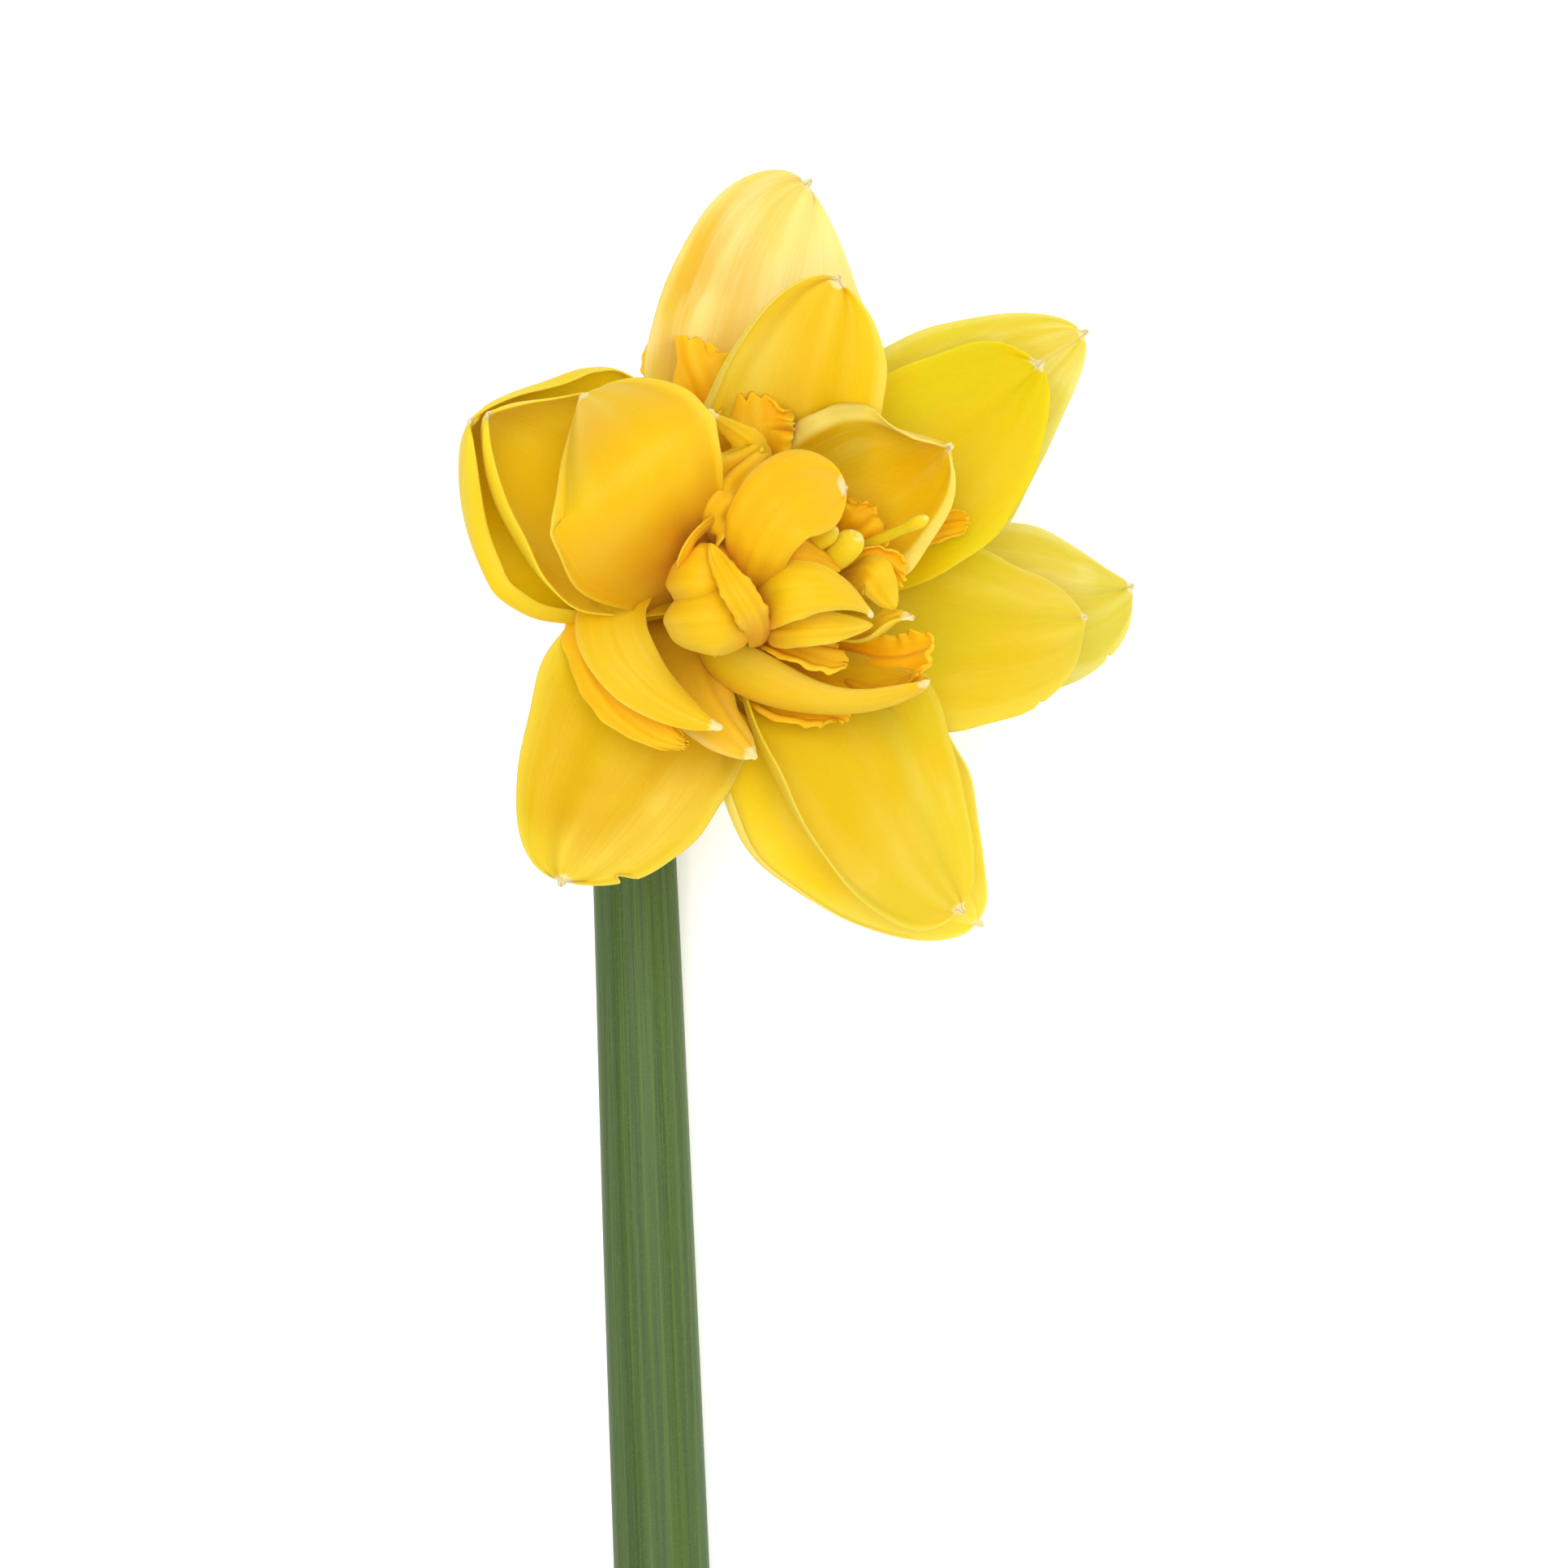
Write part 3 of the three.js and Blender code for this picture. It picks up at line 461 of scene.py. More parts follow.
@dataclass(frozen=True)
class PaperFinish:
    """Dry, thin bract with pale clouds and dark parallel veins."""

    name: str
    body: str
    vein: str
    pale: str

    def material(self) -> bpy.types.Material:
        """Builds the node graph: veins run along the bract and clouds lie in space.

        Returns:
            The finished material.
        """
        graph = Graph(self.name)
        side, along = graph.blade_place()
        cloud = graph.noise(graph.place(), 160.0, 3.0)
        veins = graph.noise(graph.vector(side * 30.0, along * 1.2, cloud * 0.5), 1.0, 1.0)
        body = graph.mix(cloud.rise(0.35, 0.65), linear(self.body), linear(self.pale))
        body = graph.mix(veins.rise(0.5, 0.64) * 0.55, body, linear(self.vein))
        return graph.finish(
            {
                "Base Color": body,
                "Roughness": 0.62 + (cloud - 0.5) * 0.2,
                "Specular IOR Level": 0.3,
                "Subsurface Weight": 0.2,
                "Subsurface Radius": (1.0, 0.7, 0.4),
                "Subsurface Scale": 0.0008,
                "Normal": graph.relief(veins + cloud * 0.6, 0.25),
            }
        )


@dataclass(frozen=True)
class FloorFinish:
    """Even, matt, white panel that is faintly lit from below."""

    name: str = "floor_white"
    colour: str = "#fbfbfb"
    lit_through: float = 0.4

    def material(self) -> bpy.types.Material:
        """Builds the node graph, all of it constant.

        Returns:
            The finished material.
        """
        return Graph(self.name).finish(
            {
                "Base Color": linear(self.colour),
                "Roughness": 0.9,
                "Specular IOR Level": 0.1,
                "Emission Color": linear(self.colour),
                "Emission Strength": self.lit_through,
            }
        )


class Tint(Enum):
    """The named finishes of the flower's pieces."""

    # Its strong pale streaks and paler right side are painted sheen and painted backlight.
    PALE = PetalFinish("tepal_pale", "#d89e0c", "#d6a62c", "#f0d892", pale_share=0.6, pale_side=0.7)
    GOLD = PetalFinish("tepal_gold", "#e6a800", "#e6b704", "#ecce54", rim=0.7, rim_start=0.84)
    # Made lighter than the gold finish to make up for the shade on its tepal: painted light.
    PAINTED_LIT_GOLD = PetalFinish("tepal_gold_painted_lit", "#fac00a", "#f8cc12", "#fce268", rim=0.9)
    DEEP = PetalFinish("tepal_gold_deep", "#ce9a00", "#cea404", "#e6c850", pale_share=0.4)
    LIME = PetalFinish("tepal_lime", "#ecbc00", "#e2bf00", "#e6ca18", "#d2c200", 0.6, 0.4)
    MELLOW = PetalFinish("tepal_mellow", "#dcb804", "#deb802", "#ecce54", "#d2c000", 0.5, 0.4)
    LEAN = PetalFinish("tepal_lime_pale", "#d8ae08", "#d6be34", "#ecdc88", "#cec020", 0.6, 0.6)
    # Made lighter than the other tepals to make up for the shade in their hollow: painted light.
    HOLLOW = PetalFinish("tepal_hollow_painted_lit", "#fec206", "#fece0a", "#fadc3c", "#f6cc10", lime_share=0.1)
    PETALOID = PetalFinish("petaloid_gold", "#f4a80a", "#eeb60e", "#f2c846", rim=0.6)
    BOAT = PetalFinish("petaloid_boat_gold", "#fdb80c", "#eeb810", "#f2c846", inside=0.9)
    SPOON = PetalFinish("petaloid_spoon_gold", "#e0a800", "#e0b204", "#f4d864", rim=0.95, rim_start=0.78)
    FOLDED = PetalFinish("petaloid_folded", "#fcb41a", "#f2bc26", "#d8bc6c", pale_share=0.6)
    HEART = PetalFinish("heart_gold", "#fbaa0c", "#f8b40a", "#f8ca30", pale_share=0.25)
    HEART_LIME = PetalFinish("heart_lime", "#fba80c", "#f0bc0c", "#f2d040", lime_share=0.35)
    BUD = PetalFinish("bud_lime", "#dcb808", "#e2c414", "#eed850", lime_share=0.4)
    ORANGE = PetalFinish("corona_orange", "#fbac04", "#fcb806", "#fdca2c", "#fbb204", 0.3, 0.3)
    TUBE = PetalFinish("tube_lime", "#a9a93a", "#c3bd3c", "#d7cf62", lime_share=0.3)
    OVARY = GreenFinish("ovary_green", "#66852f", "#7f9a44", "#4a6924", "#859a44")
    STEM = GreenFinish("stem_green", "#4a6424", "#627a3c", "#3c5222", "#b9c58c")
    SHEATH = PaperFinish("sheath_papery", "#b89b6c", "#7d6138", "#d8c59c")

    def material(self) -> bpy.types.Material:
        """The material of this finish, made once and then shared."""
        known = bpy.data.materials.get(self.value.name)
        return known if known else self.value.material()


# ------------------------------------------------------------------------------------------
# Placement and meshes
# ------------------------------------------------------------------------------------------


@dataclass
class Placement:
    """Where the bloom's frame lies in the part's frame: rolled, then shifted by metres."""

    shift: np.ndarray = field(default_factory=lambda: np.zeros(3))

    def rolled(self, points: np.ndarray) -> np.ndarray:
        """Turns points by the resting roll about +Y, still in millimetres.

        The roll takes x to x cos + z sin and z to -x sin + z cos, and leaves y alone.

        Args:
            points: Points of the bloom's frame, along the last axis.

        Returns:
            The turned points.
        """
        cosine, sine = math.cos(RESTING_ROLL), math.sin(RESTING_ROLL)
        x, y, z = points[..., 0], points[..., 1], points[..., 2]
        return np.stack([x * cosine + z * sine, y, z * cosine - x * sine], axis=-1)

    def placed(self, points: np.ndarray) -> np.ndarray:
        """Points of the bloom's frame in the part's frame, in metres."""
        return self.rolled(points) * METRES + self.shift

    def fit(self, point: np.ndarray, node: str) -> None:
        """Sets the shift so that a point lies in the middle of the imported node's box.

        Args:
            point: The middle of that solid in the bloom's frame.
            node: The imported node.
        """
        low, high = (np.array(corner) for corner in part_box(node))
        self.shift = (low + high) / 2 - self.rolled(point) * METRES
        LOG.info("placed by %s at %s mm", node, np.round(self.shift / METRES, 3))


PLACEMENT = Placement()


@dataclass
class Skin:
    """A closed grid mesh in the making: its points, its faces and what its vertices carry.

    Attributes:
        points: In the bloom's frame.
        quads: Four indices a face. A face that names a point twice becomes a triangle.
        uv: Where on the blade each point is: its side and how far along, from 0 to 1.
        callus: How much each point belongs to a callus or a cut end, from 0 to 1.
        inside: 1 where the point is on a blade's inner face, else 0.
    """

    points: np.ndarray
    quads: np.ndarray
    uv: np.ndarray
    callus: np.ndarray
    inside: np.ndarray | None = None

    def piece(self, node: str, tint: Tint, slot: str) -> None:
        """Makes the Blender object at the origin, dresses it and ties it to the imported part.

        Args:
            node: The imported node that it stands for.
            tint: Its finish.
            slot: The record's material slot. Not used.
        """
        name = f"{node}_fine"
        # A corner that names the same point as the one before it is left out of its face.
        kept = self.quads != np.roll(self.quads, 1, axis=1)
        used, corners = np.unique(self.quads[kept], return_inverse=True)
        ends = np.cumsum(kept.sum(axis=1))
        starts = np.concatenate([[0], ends[:-1]])
        mesh = bpy.data.meshes.new(name)
        mesh.vertices.add(len(used))
        mesh.vertices.foreach_set("co", PLACEMENT.placed(self.points[used]).astype(np.float32).ravel())
        mesh.loops.add(len(corners))
        mesh.loops.foreach_set("vertex_index", corners.astype(np.int32))
        mesh.polygons.add(len(starts))
        mesh.polygons.foreach_set("loop_start", starts.astype(np.int32))
        mesh.polygons.foreach_set("use_smooth", np.ones(len(starts), dtype=bool))
        layer = mesh.uv_layers.new(name="blade")
        layer.data.foreach_set("uv", self.uv[used][corners].astype(np.float32).ravel())
        inside = np.zeros(len(self.points)) if self.inside is None else self.inside
        for key, values in (("callus", self.callus), ("inside", inside)):
            carried = mesh.attributes.new(key, "FLOAT", "POINT")
            carried.data.foreach_set("value", values[used].astype(np.float32))
        mesh.update(calc_edges=True)
        mesh.materials.append(tint.material())
        made = bpy.data.objects.new(name, mesh)
        bpy.context.scene.collection.objects.link(made)
        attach(made, BODY)
        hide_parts(node)
        LOG.info("%s: %d faces", name, len(mesh.polygons))


def grid_quads(rows: int, columns: int, start: int, turned: bool) -> np.ndarray:
    """The quads of a grid of points, counted row by row.

    Args:
        rows: Number of rows of points.
        columns: Number of points in a row.
        start: Index of the grid's first point.
        turned: True if the faces look the other way.

    Returns:
        An array of four indices a face.
    """
    index = start + np.arange(rows * columns).reshape(rows, columns)
    a, b, c, d = index[:-1, :-1], index[:-1, 1:], index[1:, 1:], index[1:, :-1]
    order = (a, d, c, b) if turned else (a, b, c, d)
    return np.stack(order, axis=-1).reshape(-1, 4)


def grid_normals(surface: np.ndarray) -> np.ndarray:
    """Unit normals of a grid: the cross product of its differences along and across.

    Args:
        surface: Points of shape rows by columns by 3.

    Returns:
        A normal for each point.
    """
    along = np.empty_like(surface)
    along[1:-1] = surface[2:] - surface[:-2]
    along[0] = surface[1] - surface[0]
    along[-1] = surface[-1] - surface[-2]
    across = np.empty_like(surface)
    across[:, 1:-1] = surface[:, 2:] - surface[:, :-2]
    across[:, 0] = surface[:, 1] - surface[:, 0]
    across[:, -1] = surface[:, -1] - surface[:, -2]
    return unit(np.cross(along, across))


def sheet_faces(surface: np.ndarray, thickness: np.ndarray) -> tuple[np.ndarray, np.ndarray]:
    """The two faces of a sheet: half its thickness either way along the surface's normals."""
    half = grid_normals(surface) * (thickness / 2)[..., None]
    return surface - half, surface + half


# ------------------------------------------------------------------------------------------
# Blades
# ------------------------------------------------------------------------------------------


@dataclass(frozen=True)
class Midrib:
    """A cubic Bezier curve and the side of its root that looks inwards."""

    control: np.ndarray
    facing: np.ndarray

    def point(self, t: np.ndarray) -> np.ndarray:
        """Points of the curve: the Bernstein sum of its four control points.

        Args:
            t: Where to read it, from 0 to 1.

        Returns:
            A point for each t.
        """
        u = np.asarray(t, float)[:, None]
        p0, p1, p2, p3 = self.control
        return (1 - u) ** 3 * p0 + 3 * (1 - u) ** 2 * u * p1 + 3 * (1 - u) * u**2 * p2 + u**3 * p3

    def direction(self, t: np.ndarray) -> np.ndarray:
        """Unit tangents: the curve's derivative, scaled to length one.

        Args:
            t: Where to read it, from 0 to 1.

        Returns:
            A tangent for each t.
        """
        u = np.asarray(t, float)[:, None]
        p0, p1, p2, p3 = self.control
        return unit((1 - u) ** 2 * (p1 - p0) + 2 * (1 - u) * u * (p2 - p1) + u**2 * (p3 - p2))

    def length(self) -> float:
        """Length of the curve over 200 chords."""
        points = self.point(np.linspace(0, 1, 201))
        return float(np.linalg.norm(np.diff(points, axis=0), axis=1).sum())

    def inward(self, t: np.ndarray) -> np.ndarray:
        """The facing carried along the curve without twist.

        At each small step the part of it that lies along the tangent is taken away.

        Args:
            t: Where to read it, from 0 to 1.

        Returns:
            The inward unit normal at each t.
        """
        steps = np.linspace(0, 1, 401)
        tangents = self.direction(steps)
        carried = np.empty_like(tangents)
        normal = self.facing.astype(float)
        for index, tangent in enumerate(tangents):
            normal = unit(normal - (normal @ tangent) * tangent)
            carried[index] = normal
        found = np.stack([np.interp(t, steps, carried[:, axis]) for axis in range(3)], axis=-1)
        tangents = self.direction(t)
        return unit(found - (found * tangents).sum(axis=-1, keepdims=True) * tangents)


def through(p0: Point, p1: Point, p2: Point, p3: Point, facing: Point) -> Midrib:
    """The midrib that passes four points at even steps of its parameter.

    Its two handles solve the Bernstein sums at a third and at two thirds.

    Args:
        p0: The root.
        p1: The place a third of the way along.
        p2: The place two thirds of the way along.
        p3: The tip.
        facing: The side of the root that looks inwards.

    Returns:
        The midrib.
    """
    first, second, third, last = (np.array(p, float) for p in (p0, p1, p2, p3))
    a = second - first * 8 / 27 - last / 27
    b = third - first / 27 - last * 8 / 27
    control = np.array([first, 3 * a - 1.5 * b, 3 * b - 1.5 * a, last])
    return Midrib(control, np.array(facing))


def handles(p0: Point, p1: Point, p2: Point, p3: Point, facing: Point) -> Midrib:
    """The midrib whose control points are given outright."""
    return Midrib(np.array([p0, p1, p2, p3], float), np.array(facing))


def sprung(
    azimuth: float, ring: tuple[float, float], rise: float, lean: float, elbow: Point, tip: Point
) -> Midrib:
    """The midrib of a tepal that springs from a ring round the throat.

    Args:
        azimuth: Where on the ring, in degrees.
        ring: Radius and height of the ring.
        rise: Length of the first handle.
        lean: How far that handle leans outwards from the bloom's axis, in degrees.
        elbow: The second handle.
        tip: The tip.

    Returns:
        The midrib, facing the bloom's axis.
    """
    turn, lean_turn = math.radians(azimuth), math.radians(lean)
    outward = BLOOM_RIGHT * math.cos(turn) + BLOOM_UP * math.sin(turn)
    root = outward * ring[0] + BLOOM_AXIS * ring[1]
    handle = root + rise * (BLOOM_AXIS * math.cos(lean_turn) + outward * math.sin(lean_turn))
    return Midrib(np.array([root, handle, elbow, tip], float), -outward)


@dataclass(frozen=True)
class Blade:
    """A tepal, petaloid or frill: a midrib and a half-width on either side of it.

    Attributes:
        name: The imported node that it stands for.
        midrib: Its middle line.
        tint: Its finish.
        left: Half-widths at even steps from root to tip, on the left seen from the inner side.
        cup: How far the left margin has turned to the inner side at even steps, in degrees.
        right: Half-widths on the right, where they differ from those on the left.
        cup_right: The same turn of the right margin, where it differs.
        blunt: How late the widths close on the tip. A high number gives a square end.
        point: Length of the small horn on the tip.
        wave: Height and number of the margin's waves.
        frill: Height and number of its fine ruffles.
        jag: Depth of the teeth along the margins, as a share of the width.
        fringe: Depth of the scallops across the end.
        open_end: The share of the width that stays open at the end.
        bow: How far the corners of the end are drawn back.
        roll: How much further the outermost part of each margin turns, in degrees.
        roll_share: That part, as a share of the half-width.
        pleat: Depth of the soft lengthwise folds.
        furrow: Depth of the furrow along the midrib.
        swell: Height of the broad, uneven swelling.
        nick: A tear: how far along, on which side, how deep as a share, and how long.
        thickness: Thickness of the sheet between its midrib and its margins.
        callused: Whether the tip carries a callus.
    """

    name: str
    midrib: Midrib
    tint: Tint
    left: Stops
    cup: Stops
    right: Stops | None = None
    cup_right: Stops | None = None
    blunt: float = 6.0
    point: float = 0.7
    wave: tuple[float, float] = (0.3, 2.0)
    frill: tuple[float, float] = (0.0, 0.0)
    jag: float = 0.0
    fringe: float = 0.0
    open_end: float = 0.0
    bow: float = 0.0
    roll: tuple[float, float] = (0.0, 0.0)
    roll_share: float = 0.2
    pleat: float = 0.1
    furrow: float = 0.1
    swell: float = 0.25
    nick: tuple[float, float, float, float] | None = None
    thickness: float = 0.45
    callused: bool = True

    def horn_start(self) -> float:
        """How far along the midrib the small horn of the tip starts."""
        return 1 - self.point / self.midrib.length()

    def widths(self, t: np.ndarray, horn: np.ndarray) -> np.ndarray:
        """Half-widths, left and right, joined with the horn's as the sides of a right angle.

        Each is the spline through its stops times the root of 1 - k t^blunt, where k is one less
        the square of the share of the width that stays open at the end.

        Args:
            t: How far along the midrib, from 0 to 1.
            horn: Half-width of the tip's horn at each t.

        Returns:
            One row for each t, with the left and the right half-width.
        """
        body = np.clip(t / self.horn_start(), 0, 1)
        closing = np.sqrt(np.clip(1 - (1 - self.open_end**2) * body**self.blunt, 0, None))
        sides = [even_spline(stops, body) * closing for stops in (self.left, self.right or self.left)]
        return np.hypot(np.stack(sides, axis=-1), horn[:, None])

    def surface(self, t: np.ndarray, side: np.ndarray, horn: np.ndarray, phase: float) -> np.ndarray:
        """The middle surface as a grid of points.

        Each row is a curve square to the midrib. Its angle at a place is cup times side plus the
        roll of the margin, and its points are the integrals of the angle's cosine and sine.
        The waves then lift it along the inward normal, and the ending moves it along the midrib.

        Args:
            t: How far along the midrib each row is.
            side: How far across each column is, from -1 to 1.
            horn: Half-width of the tip's horn in each row.
            phase: Start of every wave, in radians.

        Returns:
            Points of shape rows by columns by 3, in the bloom's frame.
        """
        tangent = self.midrib.direction(t)
        inward = self.midrib.inward(t)
        sideways = np.cross(tangent, inward)
        widths = self.widths(t, horn)
        across, along = side[None, :], t[:, None]
        is_left = across < 0
        width = np.where(is_left, widths[:, :1], widths[:, 1:])
        cup_left = np.radians(even_spline(self.cup, t))[:, None]
        cup_right = np.radians(even_spline(self.cup_right or self.cup, t))[:, None]
        beyond = smooth(2 * (np.abs(across) - 1 + self.roll_share) / self.roll_share)
        roll = np.radians(np.where(is_left, self.roll[0], self.roll[1])) * np.sign(across)
        angle = np.where(is_left, cup_left, cup_right) * across
        angle = angle + roll * beyond * np.sin(np.pi * along) ** 0.6
        step = float(side[1] - side[0])
        reach = running_sum(np.cos(angle), step) * width
        lift = running_sum(np.sin(angle), step) * width

        fade = np.clip(3 * along, 0, 1) * np.clip(width / 3, 0, 1)
        lift = lift + fade * self.waves(along, across, phase)
        reach = reach * self.margin(along, across, phase)
        middle = self.midrib.point(t)[:, None, :]
        grid = middle + sideways[:, None, :] * reach[..., None] + inward[:, None, :] * lift[..., None]
        return grid + tangent[:, None, :] * self.ending(along, across, phase)[..., None]

    def ending(self, along: np.ndarray, across: np.ndarray, phase: float) -> np.ndarray:
        """How far the scallops and the bow move the blade along its midrib.

        A scallop is the root of a sine's size, so that it is round and meets the next one in a
        notch. The scallops grow with along^8, and the bow with along^4 and the side's square.

        Args:
            along: A column of places from root to tip, from 0 to 1.
            across: A row of places from side to side, from -1 to 1.
            phase: Start of every wave, in radians.

        Returns:
            The shift at each place of the grid.
        """
        scallops = 2.2 * np.sqrt(np.abs(np.sin(7.5 * across + phase))) + 0.5 * np.sin(19 * across) - 1
        return self.fringe * along**8 * scallops - self.bow * across**2 * along**4

    def waves(self, along: np.ndarray, across: np.ndarray, phase: float) -> np.ndarray:
        """Height of the margin's waves and ruffles, the swelling, the pleats and the furrow.

        Waves are sines along the blade that grow with side^2.5 and ruffles with side^4. The
        swelling and the pleats are sums of two sines, and the furrow is a bell about the middle.

        Args:
            along: A column of places from root to tip, from 0 to 1.
            across: A row of places from side to side, from -1 to 1.
            phase: Start of every wave, in radians.

        Returns:
            The height at each place of the grid.
        """
        outer = np.abs(across)
        offset = np.where(across < 0, 1.9, 0.0)
        height, count = self.wave
        waves = height * outer**2.5 * np.sin(2 * np.pi * count * along + phase + offset)
        height, count = self.frill
        turns = 2 * np.pi * count * along + 2 * phase + 0.9 * np.sin(6 * along + phase) + offset
        ruffles = height * outer**4 * np.sin(turns)
        slow = np.sin(3 * along + 1.4 * across + phase)
        swelling = self.swell * (slow + 0.6 * np.sin(5 * along - 2.2 * across + 2 * phase))
        first = np.sin(7.3 * across + 1.1 * along + phase)
        pleats = self.pleat * (first + 0.6 * np.sin(12.1 * across - 2 * along - phase))
        furrow = -self.furrow * bump(across, 0.0, 0.09) * np.sin(np.pi * along)
        return waves + ruffles + swelling + pleats + furrow

    def margin(self, along: np.ndarray, across: np.ndarray, phase: float) -> np.ndarray:
        """The share of the width that the teeth, the uneven edge and the nick leave.

        It is one plus sums of sines along the blade that grow with a power of the side, less a
        wedge where the nick is.

        Args:
            along: A column of places from root to tip, from 0 to 1.
            across: A row of places from side to side, from -1 to 1.
            phase: Start of every wave, in radians.

        Returns:
            The share at each place of the grid.
        """
        teeth = 0.6 * np.sin(23 * along + phase) + 0.4 * np.sin(41 * along + 2 * phase)
        teeth = teeth + 0.4 * np.sin(71 * along + 3 * phase)
        uneven = np.sin(19 * along + across + phase) + np.sin(33 * along + 2 * across)
        share = self.jag * teeth * np.abs(across) ** 6 + 0.008 * uneven * np.abs(across) ** 4
        if self.nick is not None:
            place, which, depth, length = self.nick
            tear = np.clip(1 - np.abs(along - place) / length, 0, 1) ** 1.2
            share = share - np.where(np.sign(across) == which, depth * tear, 0.0) * np.abs(across) ** 8
        return 1 + share

    def skin(self, phase: float, rows: int, columns: int) -> Skin:
        """The closed fine blade: both faces of the sheet and the rim between them.

        Rows crowd towards the tip as a sine does, and the horn has the last few. The sheet thins
        towards its margins with side^4, and near the horn to little more than its width.

        Args:
            phase: Start of every wave, in radians.
            rows: Rows of points from root to tip.
            columns: Points across, an odd number.

        Returns:
            The blade's mesh in the making.
        """
        start = self.horn_start()
        steps = np.linspace(0, 1, rows - HORN_ROWS)
        body = start * (0.45 * steps + 0.55 * np.sin(np.pi / 2 * steps))
        t = np.concatenate([body, start + (1 - start) * np.linspace(0.2, 1, HORN_ROWS)])
        over = np.clip((t - start) / (1 - start), 0, 1)
        horn = 0.65 * self.point * np.minimum(t / start, 1) ** 40 * np.sqrt(1 - 0.98 * over**2)
        side = np.linspace(-1, 1, columns)
        surface = self.surface(t, side, horn, phase)
        rim = np.abs(side)[None, :] ** 4
        width = self.widths(t, horn).mean(axis=1, keepdims=True)
        full = self.thickness * (1 + 0.25 * bump(side, 0, 0.25)[None, :])
        front, back = sheet_faces(surface, np.minimum(full * (1 - 0.55 * rim), 0.2 + 0.9 * width))
        tip = self.midrib.point(np.array([1.0]))[0]
        distance = np.linalg.norm(surface - tip, axis=-1)
        callus = (1 - between(distance, *CALLUS_FADE)) * float(self.callused)
        uv = np.stack(np.broadcast_arrays((side[None, :] + 1) / 2, t[:, None]), axis=-1)
        count = len(t) * columns
        quads = [
            grid_quads(len(t), columns, 0, turned=False),
            grid_quads(len(t), columns, count, turned=True),
            rim_quads(len(t), columns, count),
        ]
        return Skin(
            points=np.concatenate([front.reshape(-1, 3), back.reshape(-1, 3)]),
            quads=np.concatenate(quads),
            uv=np.concatenate([uv.reshape(-1, 2)] * 2),
            callus=np.concatenate([callus.ravel()] * 2),
            inside=np.repeat([1.0, 0.0], count),
        )


def rim_quads(rows: int, columns: int, behind: int) -> np.ndarray:
    """The quads that join the borders of two like grids.

    Args:
        rows: Rows of points in each grid.
        columns: Points in a row.
        behind: Index of the second grid's first point.

    Returns:
        An array of four indices a face.
    """
    index = np.arange(rows * columns).reshape(rows, columns)
    border = np.concatenate([index[0, :-1], index[:-1, -1], index[-1, :0:-1], index[:0:-1, 0]])
    following = np.roll(border, -1)
    return np.stack([border, behind + border, behind + following, following], axis=-1)


def small_blade(
    name: str, midrib: Midrib, tint: Tint, left: Stops, cup: Stops, **changes: Any
) -> Blade:
    """A small blade with hardly a horn and no callus.

    Args:
        name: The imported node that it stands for.
        midrib: Its middle line.
        tint: Its finish.
        left: Half-widths at even steps.
        cup: Turns of the margin at even steps, in degrees.
        changes: Whatever else the blade has.

    Returns:
        The blade.
    """
    return Blade(name, midrib, tint, left, cup, point=0.2, callused=False, **changes)


def frill_strip(name: str, midrib: Midrib, left: Stops, cup: Stops, **changes: Any) -> Blade:
    """An orange strip of the corona: pleated, ruffled and with a broad scalloped end.

    Args:
        name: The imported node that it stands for.
        midrib: Its middle line.
        left: Half-widths at even steps.
        cup: Turns of the margin at even steps, in degrees.
        changes: What differs from the usual strip.

    Returns:
        The blade.
    """
    usual = {
        "blunt": 12, "pleat": 0.3, "jag": 0.05, "frill": (0.3, 5),
        "fringe": 0.3, "open_end": 0.8, "bow": 1.2,
    }
    return small_blade(name, midrib, Tint.ORANGE, left, cup, **{**usual, **changes})


# ------------------------------------------------------------------------------------------
# Sub-assemblies of blades
# ------------------------------------------------------------------------------------------


@dataclass
class BladeGroup:
    """Blades that are built alike.

    Attributes:
        title: The group's name in the log.
        first: Place of its first blade in the order of building, which sets the waves' phases.
        rows: Rows of points on each blade.
        columns: Points across each blade, an odd number.
        slot: The record's material slot of its blades.
        blades: The blades.
    """

    title: str
    first: int
    rows: int
    columns: int
    slot: str
    blades: tuple[Blade, ...]

    def build(self) -> None:
        """Makes every blade of the group."""
        LOG.info("%s: %d blades", self.title, len(self.blades))
        for place, blade in enumerate(self.blades, start=self.first):
            skin = blade.skin(GOLDEN_TURN * place, self.rows, self.columns)
            skin.piece(blade.name, blade.tint, self.slot)


